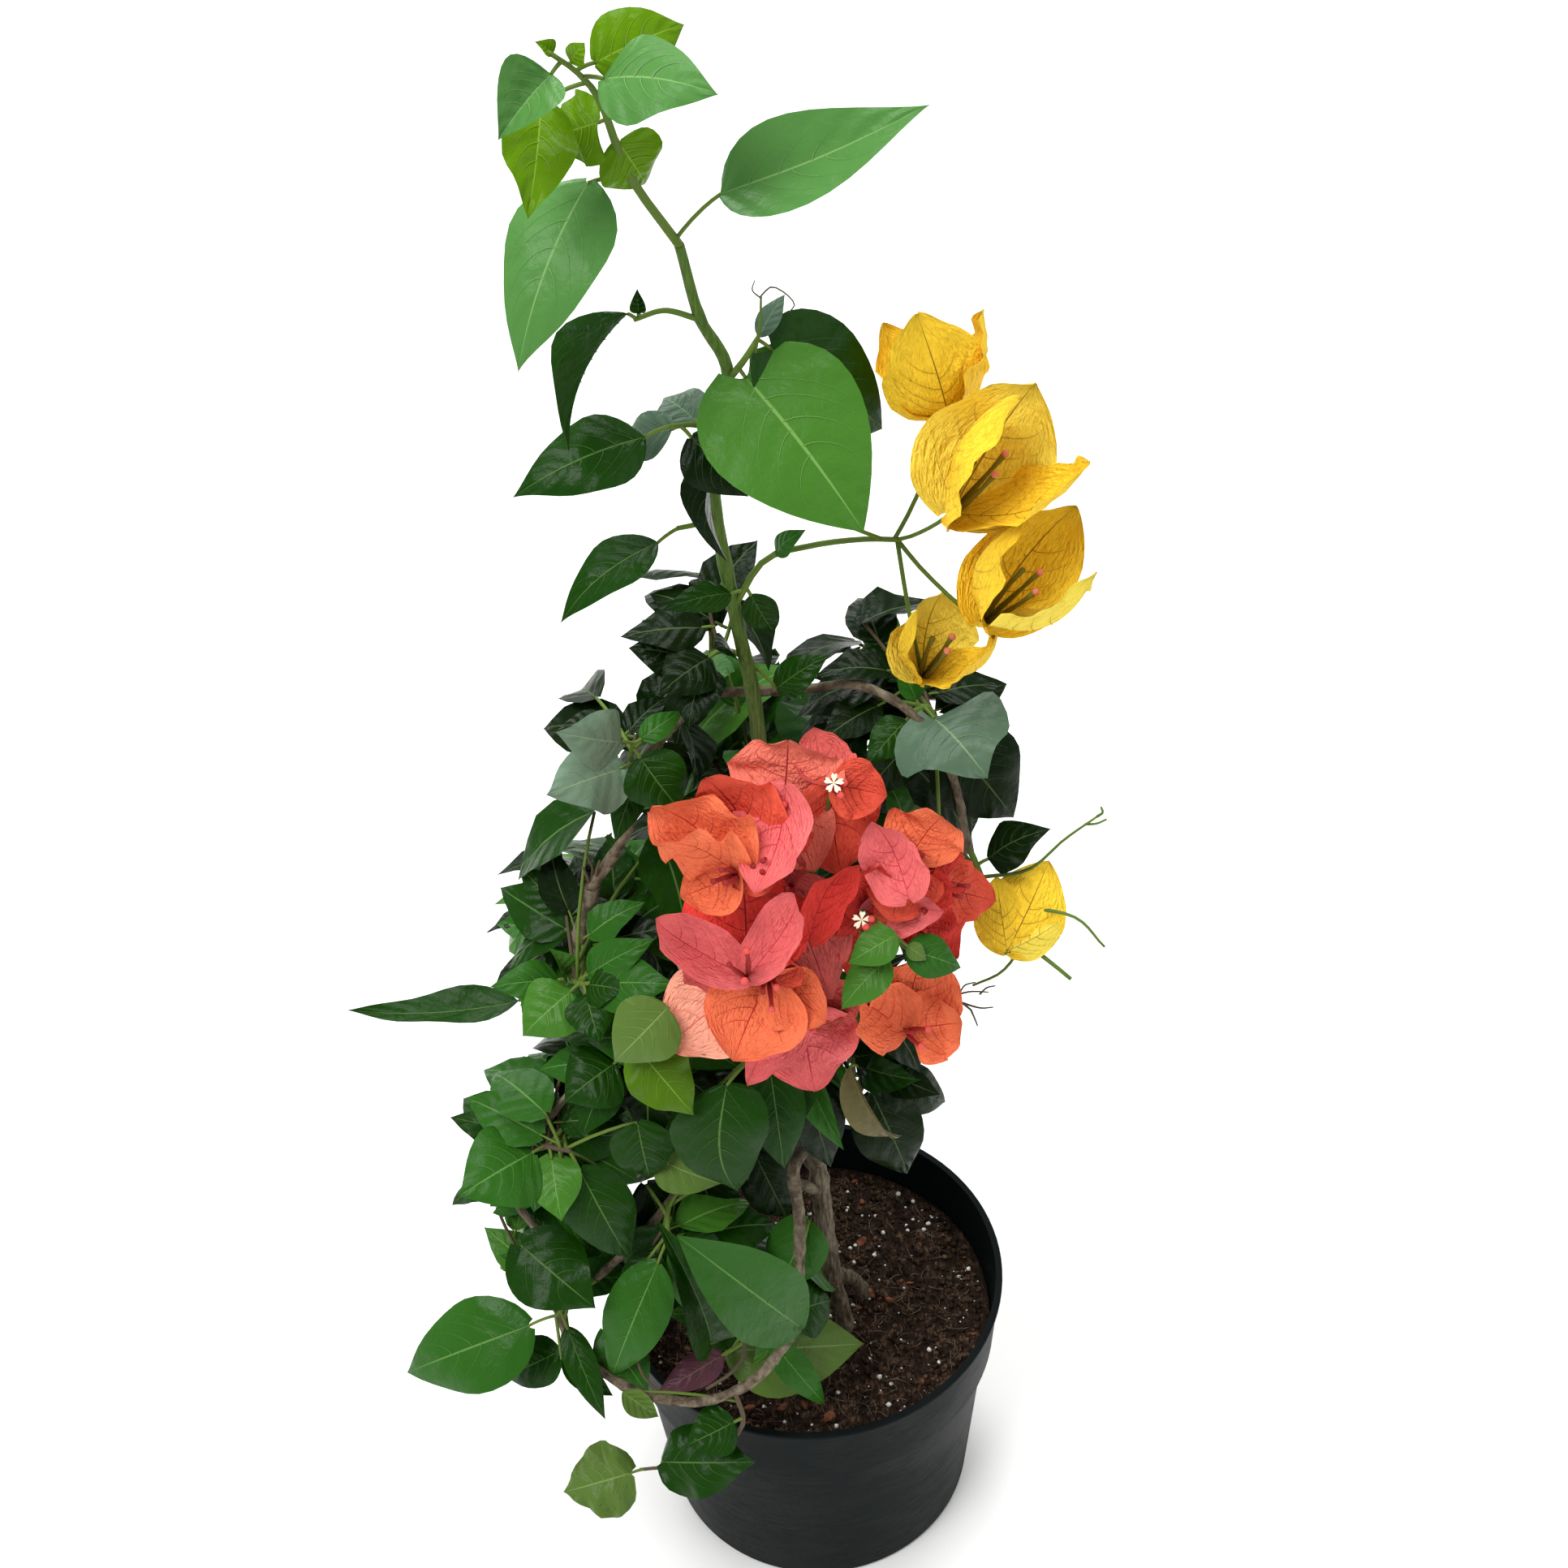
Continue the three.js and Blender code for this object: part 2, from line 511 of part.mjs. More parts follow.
// Whether the welded surface has two faces at every edge
function closesCleanly(solid) {
  const corners = weldedSurface(solid).index.array;
  const facesAt = new Map();
  for (let first = 0; first < corners.length; first += 3) {
    const face = corners.slice(first, first + 3);
    if (new Set(face).size < 3) continue;
    face.forEach((corner, index) => {
      const next = face[(index + 1) % 3];
      const edge = corner < next ? `${corner} ${next}` : `${next} ${corner}`;
      facesAt.set(edge, (facesAt.get(edge) ?? 0) + 1);
    });
  }
  return [...facesAt.values()].every((count) => count === 2);
}

// A solid with a piece joined on, which is made again and moved a little until the joint closes cleanly
function join(solid, makePiece) {
  for (let attempt = 0; attempt < JOIN_TRIES; attempt += 1) {
    const whole = solid.add(makePiece(attempt * JOIN_MOVE));
    if (closesCleanly(whole)) return whole;
  }
  return solid;
}

const joinLeaf = (solid, shape) => join(solid, (move) => {
  const seat = shape.seat.clone().lerp(shape.base, move);
  return leaf({ ...shape, seat });
});

// Whether a point lies inside a mass's space
function inSpace(point, { centre, reach }) {
  const [x, y, z] = point.toArray().map((value, axis) => (value - centre[axis]) / reach[axis]);
  return x * x + y * y + z * z <= 1;
}

// A mass with the twigs that fill its space evenly, each with a leaf at its tip and leaves on its sides.
// A leaf that would leave the space or touch something turns another way, and is left out after a few tries.
function withRuleTwigs(named, { path, twigs, space }, others) {
  if (!twigs) return named;
  let solid = named;
  const random = seeded(twigs.seed);
  const between = ([least, most]) => least + (most - least) * random();
  const strayed = (heading) => heading
    .add(new THREE.Vector3(between(TWIG_RULE.stray), between(TWIG_RULE.stray), between(TWIG_RULE.lift)))
    .normalize();
  const centre = vector(space.centre);
  const stem = curveOf(path);

  const firstThatFits = (propose) => {
    for (let attempt = 0; attempt < TWIG_RULE.tries; attempt += 1) {
      const length = twigs.leaf * between(TWIG_RULE.size) * (1 - PETIOLE_SHARE);
      const { seat, base, tip, stalkRadius } = propose(length);
      const facing = base.clone().sub(centre).normalize().addScaledVector(UP, TWIG_RULE.facingUp);
      const width = length / LEAF_LENGTH_TO_WIDTH;
      const shape = { seat, base, tip, facing, width, stalkRadius, stations: SMALL_BLADE_STATIONS };
      const apart = { ...shape, seat: seat.clone().lerp(base, 0.5) };
      const fits = inSpace(tip, space) && clearOf(leaf({ ...shape, room: LEAF_ROOM }), others)
        && clearOf(leaf(apart), [solid]);
      if (fits) return shape;
    }
    return null;
  };

  for (let index = 0; index < twigs.count; index += 1) {
    const height = 1 - 2 * (index + 0.5) / twigs.count;
    const turn = GOLDEN_TURN * index + between(TWIG_RULE.turn);
    const round = Math.sqrt(1 - height * height);
    const direction = new THREE.Vector3(round * Math.cos(turn), round * Math.sin(turn), height);
    const outward = direction.clone().multiply(vector(space.reach));
    const twig = firstThatFits((length) => {
      const tip = centre.clone().addScaledVector(outward, between(TWIG_RULE.tip));
      const base = tip.clone().addScaledVector(strayed(direction.clone()), -length);
      return { seat: stem.getPoint(between(TWIG_RULE.seat)), base, tip, stalkRadius: TWIG_RULE.radius };
    });
    if (!twig) continue;
    solid = joinLeaf(solid, twig);
    const ahead = twig.base.clone().sub(twig.seat).normalize();
    const across = ahead.clone().cross(UP).normalize();
    for (let place = 1; place < twigs.leaves; place += 1) {
      const side = firstThatFits((length) => {
        const seat = twig.seat.clone().lerp(twig.base, place / twigs.leaves);
        const sideways = between(TWIG_RULE.sideways) * (1 - 2 * (place % 2));
        const heading = strayed(ahead.clone().addScaledVector(across, sideways));
        const base = seat.clone().addScaledVector(heading, length * PETIOLE_SHARE);
        return { seat, base, tip: base.clone().addScaledVector(heading, length) };
      });
      if (side) solid = joinLeaf(solid, side);
    }
  }
  return solid;
}

// The named parts of a mass: its stem, and the sprigs, leaves and blooms on it
function namedParts({ root, path, radii, sprigs = [], leaves = [], blooms = [] }, rooms, otherMasses) {
  const stem = curveOf(path);
  const seatAt = (place) => stem.getPoint(LAST_SEAT * place);
  const otherRooms = Object.keys(rooms).filter((name) => name !== root).map((name) => rooms[name]);
  const others = [...otherRooms, ...otherMasses];
  let solid = limb(path, radii, STEM_SIDES);
  for (const { at, path: sprig } of sprigs) {
    solid = join(solid, (move) => limb([seatAt(at - move).toArray(), ...sprig], SPRIG_RADII, TWIG_SIDES));
  }
  for (const [at, x, y, z, width, roll, petiole = PETIOLE_SHARE] of leaves) {
    const seat = seatAt(at);
    const tip = new THREE.Vector3(x, y, z);
    const base = Array.isArray(petiole) ? vector(petiole) : seat.clone().lerp(tip, petiole);
    const shape = { seat, base, tip, width, facing: facingOf(base, tip, roll), stations: BLADE_STATIONS };
    const away = { ...shape, seat: seat.clone().lerp(base, 0.5), room: LEAF_ROOM / 2 };
    if (clearOf(leaf(away), others)) solid = joinLeaf(solid, shape);
  }
  for (const [at, x, y, z, fx, fy, fz, size, spin] of blooms) {
    const centre = new THREE.Vector3(x, y, z);
    const facing = new THREE.Vector3(fx, fy, fz);
    const neighbours = [solid, ...others];
    solid = join(solid, (move) => {
      const shape = { seat: seatAt(at - move), centre, facing, size, spin: spin + SPIN_MOVE * move };
      return bloom(shape, neighbours);
    });
  }
  return solid;
}

// The faces of a closed surface's largest body: loose scraps and sealed hollows are left behind.
// Faces are of one body when they share an edge.
function largestBody(corners) {
  const owner = Array.from({ length: corners.length / 3 }, (_, face) => face);
  const find = (face) => {
    let top = face;
    while (owner[top] !== top) top = owner[top];
    owner[face] = top;
    return top;
  };
  const faceAtEdge = new Map();
  corners.forEach((corner, index) => {
    const face = Math.floor(index / 3);
    const next = corners[3 * face + (index + 1) % 3];
    const edge = corner < next ? `${corner} ${next}` : `${next} ${corner}`;
    if (faceAtEdge.has(edge)) owner[find(face)] = find(faceAtEdge.get(edge));
    else faceAtEdge.set(edge, face);
  });
  const bodies = new Map();
  corners.forEach((corner, index) => {
    const body = find(Math.floor(index / 3));
    if (!bodies.has(body)) bodies.set(body, []);
    bodies.get(body).push(corner);
  });
  const [largest] = [...bodies.values()].sort((one, other) => other.length - one.length);
  return largest;
}

// A solid's welded surface, as one body
function geometryOf(solid) {
  const welded = weldedSurface(solid);
  const whole = new wasm.Manifold(new wasm.Mesh({
    numProp: 3,
    vertProperties: welded.getAttribute('position').array,
    triVerts: new Uint32Array(welded.index.array),
  })).getMesh();
  const geometry = geometryFrom(whole.vertProperties, largestBody(Array.from(whole.triVerts))).toNonIndexed();
  geometry.computeVertexNormals();
  return geometry;
}

function addPiece(group, name, geometry, finish) {
  const piece = new THREE.Mesh(geometry, new THREE.MeshStandardMaterial(COLOURS[finish]));
  piece.name = name;
  group.add(piece);
}

// A turned piece: its profile, radius and height, is spun round the Z axis
function turned(profile) {
  const points = profile.map(([radius, height]) => new THREE.Vector2(radius, height));
  return new THREE.LatheGeometry(points, POT_SEGMENTS).rotateX(Math.PI / 2);
}

const COLLAR_FOOT = POT_HEIGHT - COLLAR_HEIGHT;
const BODY_TOP = COLLAR_FOOT - STEP_DROP;

function potGeometry() {
  return turned([
    [0, 0],
    [FOOT_RADIUS - FOOT_CHAMFER, 0],
    [FOOT_RADIUS, FOOT_CHAMFER],
    [BODY_TOP_RADIUS, BODY_TOP],
    [COLLAR_FOOT_RADIUS, COLLAR_FOOT],
    [RIM_RADIUS - LIP_OVERHANG, POT_HEIGHT - LIP_HEIGHT],
    [RIM_RADIUS, POT_HEIGHT - LIP_HEIGHT + 1],
    [RIM_RADIUS, POT_HEIGHT - 1],
    [RIM_RADIUS - 1, POT_HEIGHT],
    [RIM_RADIUS - LIP_OVERHANG - WALL, POT_HEIGHT],
    [COLLAR_FOOT_RADIUS - WALL, COLLAR_FOOT + 1],
    [BODY_TOP_RADIUS - WALL, BODY_TOP + 1],
    [FOOT_RADIUS - WALL, FLOOR_THICKNESS],
    [0, FLOOR_THICKNESS],
  ]);
}

function soilGeometry() {
  const inset = WALL + 2 * GAP;
  const collarWidening = (RIM_RADIUS - LIP_OVERHANG - COLLAR_FOOT_RADIUS) / (COLLAR_HEIGHT - LIP_HEIGHT);
  const soilRadius = COLLAR_FOOT_RADIUS + collarWidening * (SOIL_TOP - COLLAR_FOOT) - inset;
  return turned([
    [0, FLOOR_THICKNESS + GAP],
    [FOOT_RADIUS - inset, FLOOR_THICKNESS + GAP],
    [BODY_TOP_RADIUS - inset, BODY_TOP + 1 + GAP],
    [COLLAR_FOOT_RADIUS - inset, COLLAR_FOOT + 1 + GAP],
    [soilRadius, SOIL_TOP],
    [0, SOIL_TOP],
  ]);
}

function trunkSolid(room = 0) {
  let solid = limb(TRUNK.path, TRUNK.radii, LIMB_SIDES, room);
  for (const leg of TRUNK.legs) solid = solid.add(limb(leg.path, leg.radii, LIMB_SIDES, room));
  return solid;
}

// Everything under the flat cut at soil level, taken off the trunk's feet
function belowSoil() {
  const corner = (x, y, z) => new THREE.Vector3(x * CUT_HALF_WIDTH, y * CUT_HALF_WIDTH, z);
  const ring = (z) => [corner(-1, -1, z), corner(1, -1, z), corner(1, 1, z), corner(-1, 1, z)];
  const low = SOIL_TOP - CUT_DEPTH;
  const high = SOIL_TOP + GAP;
  return loft([ring(low), ring(high)], new THREE.Vector3(0, 0, low), new THREE.Vector3(0, 0, high));
}

const plant = new THREE.Group();
addPiece(plant, 'pot', potGeometry(), 'pot');
addPiece(plant, 'soil', soilGeometry(), 'soil');
addPiece(plant, 'trunk', geometryOf(trunkSolid().subtract(belowSoil())), 'bark');

// Each limb starts inside the one that carries it, and is cut back to a small gap round every earlier limb
const limbRooms = { trunk: trunkSolid(GAP) };
for (const [name, { path, radii, finish }] of Object.entries(LIMBS)) {
  let solid = limb(path, radii, LIMB_SIDES);
  for (const room of Object.values(limbRooms)) solid = solid.subtract(room);
  limbRooms[name] = limb(path, radii, LIMB_SIDES, GAP);
  addPiece(plant, name, geometryOf(solid), finish);
}

// First the named parts of every mass, then the twigs that fill the spaces between them
const masses = {};
for (const [name, spec] of Object.entries(MASSES)) {
  masses[name] = namedParts(spec, limbRooms, Object.values(masses));
}
const rooms = Object.values(limbRooms);
for (const [name, spec] of Object.entries(MASSES)) {
  const otherMasses = Object.keys(masses).filter((other) => other !== name).map((other) => masses[other]);
  masses[name] = withRuleTwigs(masses[name], spec, [...rooms, ...otherMasses]);
  for (const room of rooms) masses[name] = masses[name].subtract(room);
  addPiece(plant, name, geometryOf(masses[name]), spec.finish);
}

export default plant;
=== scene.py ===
import math

import bpy
import numpy as np
from mathutils import Matrix, Vector
from mathutils.bvhtree import BVHTree


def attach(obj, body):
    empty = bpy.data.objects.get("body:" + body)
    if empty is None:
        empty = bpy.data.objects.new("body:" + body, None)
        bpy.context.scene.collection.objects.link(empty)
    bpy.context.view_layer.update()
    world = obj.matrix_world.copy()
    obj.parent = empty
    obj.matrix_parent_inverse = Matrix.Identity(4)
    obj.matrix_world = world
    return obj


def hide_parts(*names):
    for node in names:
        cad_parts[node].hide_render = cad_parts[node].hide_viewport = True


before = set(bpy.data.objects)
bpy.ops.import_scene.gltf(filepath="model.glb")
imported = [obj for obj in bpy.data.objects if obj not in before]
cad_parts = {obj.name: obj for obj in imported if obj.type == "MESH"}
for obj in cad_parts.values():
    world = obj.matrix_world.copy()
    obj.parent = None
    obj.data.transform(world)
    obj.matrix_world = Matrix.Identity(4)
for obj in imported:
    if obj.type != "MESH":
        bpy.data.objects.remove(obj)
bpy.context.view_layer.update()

# A climbing bougainvillea in its nursery pot. Shapes are worked out in millimetres, in the frame's axes,
# and turned to metres when a piece is made.

MM = 0.001

# Pot and soil
RIM_RADIUS = 105
COLLAR_FOOT_RADIUS = 100.5
BODY_TOP_RADIUS = 96.5
FOOT_RADIUS = 86
POT_HEIGHT = 165
COLLAR_HEIGHT = 45
STEP_DROP = 3
LIP_HEIGHT = 4
LIP_OVERHANG = 1.5
WALL = 2.2
SOIL_TOP = 133
SOIL_FLOOR = 4
SOIL_RADIUS = 98.4
SOIL_STEP = 117
SOIL_STEP_RADIUS = 93.6
POT_SEGMENTS = 96

# Growth, as in the solids: shares of a leaf's length, and the seeded rule for the twigs that fill a mass
LAST_SEAT = 0.97
PETIOLE_SHARE = 0.17
LEAF_LENGTH_TO_WIDTH = 1.6
LEAF_SHAPE = (0.62, 1.2)
HEART_SHAPE = (0.42, 0.95)
BROAD_SHAPE = (0.85, 1.05)
BRACT_SHAPE = (0.52, 0.84)
LEAF_BULGE = 0.09
BRACT_BULGE = -0.16
LEAF_ROOM = 1.2
RULE = {
    "tries": 8, "seat": (0.5, 0.95), "turn": (0, 1), "tip": (0.72, 1), "stray": (-0.6, 0.6),
    "lift": (-0.9, 0.2), "sideways": (0.7, 1.5), "size": (0.8, 1.15), "facing_up": 1.1,
    "radii": (0.8, 0.7),
}

# Finer growth than the solids have: more shoots along each twig, and leaves that fill what is left
FINER = {
    "places": (0.25, 0.5, 0.72, 0.9), "size": (0.5, 0.85), "lift": (-0.7, 0.5), "sideways": (0.8, 1.8),
    "radii": (0.65, 0.55),
}
FILL = {
    "share": 6, "seat": (0.1, 0.9), "size": (0.62, 1), "lift": (-0.5, 0.7), "reach": (0.2, 0.6),
    "radii": (0.7, 0.6), "room": -5,
}

# How a leaf that grows by the rule is bent, in its own draws beside those of the rule
DRESSING_SEED_STEP = 1000
DRESSING = {
    "fold": (0.05, 0.4), "wave": (0.02, 0.09), "waves": (1.4, 2.8), "curl": (0, 0.3), "droop": (0, 0.12),
    "twist": (-0.4, 0.4),
}
DRESSED_LOBE = 0.07
PHASES = (0, 6)

# How far a twig bows out in its middle, as a share of its length
SHOOT_BOW = 0.12
PETIOLE_BOW = 0.06
PEDICEL_BOW = -0.08

UP = np.array([0.0, 0.0, 1.0])
TOWARDS_LIGHT = np.array([0.0, -0.6, 0.8])
FULL_TURN = 2 * math.pi
GOLDEN_TURN = FULL_TURN * 0.381966

# The camera: its place in millimetres, and its angles in degrees
CAMERA_PLACE = (2.5, -763, 1177)
CAMERA_PITCH = 40.9
CAMERA_ROLL = -3.5
CAMERA_LENS = 52.17
CAMERA_SENSOR = 36
CAMERA_REACH = (0.01, 30)

# The studio, in metres: each lamp's place and power
FLOOR_SIZE = 14
FLOOR_COLOUR = (242, 242, 240)
SKY_STRENGTH = 0.45
LAMP_SIZE = 3
LAMP_TARGET = (0, 0, 0.4)
LAMPS = {
    "key": ((-2.2, -2.0, 5.0), 250), "fill": ((3.6, -2.0, 2.6), 40), "top": ((0.6, 1.4, 5.4), 170),
    "back": ((-1.6, 3.6, 2.8), 90),
}

# Limbs: finish, radii at root and tip, and path, as in the solids
LIMBS = {
    "leader": ("green_stem", (4.1, 1.9), [
        (5, -9, 296), (-1, 3, 400), (-6, 4, 480), (-8, 2, 560), (-13, -8, 615),
        (-18, -15, 685), (-9, -15, 733), (-18, -20, 762), (-23, -25, 794)]),
    "left_stem": ("bark", (3.8, 3.8), [
        (6, -10, 284), (-38, -18, 335), (-78, -26, 385), (-96, -25, 435), (-86, -20, 480)]),
    "arch_left": ("bark", (2.6, 2.1), [
        (-86, -20, 480), (-67, -15, 509), (-57, -10, 542), (-40, 2, 556), (-25, 13, 560)]),
    "arch_right": ("bark", (2.1, 1.7), [
        (-25, 13, 560), (8, 20, 553), (38, 5, 565), (62, -18, 562), (76, -20, 530), (83, -20, 487)]),
    "hoop_down": ("bark", (3.2, 2.6), [
        (9, -12, 268), (6, -40, 318), (-4, -60, 324), (-3, -70, 297), (-6, -85, 256), (-10, -95, 240)]),
    "hoop_front": ("bark", (2.6, 2.3), [
        (-10, -95, 240), (-30, -108, 223), (-58, -115, 218), (-90, -110, 224), (-121, -90, 233)]),
    "hoop_up": ("bark", (2.3, 1.9), [
        (-121, -90, 233), (-124, -74, 254), (-122, -62, 273), (-138, -58, 306), (-130, -58, 345),
        (-111, -58, 378), (-82, -50, 401)]),
    "low_stem": ("bark", (2.9, 2), [
        (9, -13, 248), (-20, -40, 296), (-54, -57, 314), (-80, -68, 290), (-104, -75, 268)]),
    "right_stem": ("bark", (3, 2.2), [(7, -11, 284), (40, -4, 335), (62, 6, 385), (64, 14, 420)]),
    "back_stem": ("bark", (3, 2.2), [(7, -11, 274), (10, 30, 335), (4, 54, 385), (-6, 60, 425)]),
    "back_left_stem": ("bark", (2.9, 2), [(9, -12, 258), (-28, 20, 300), (-62, 36, 335), (-78, 40, 362)]),
}
TRUNK = [
    ((5.6, 4.6), [(12, -14, 176), (10, -13, 215), (8, -12, 262), (5, -9, 296)]),
    ((5.2, 3.6), [(18, -18, 130), (17, -17, 152), (12, -14, 184)]),
    ((4.6, 3.2), [(29, 5, 130), (25, 0, 153), (12, -14, 182)]),
]

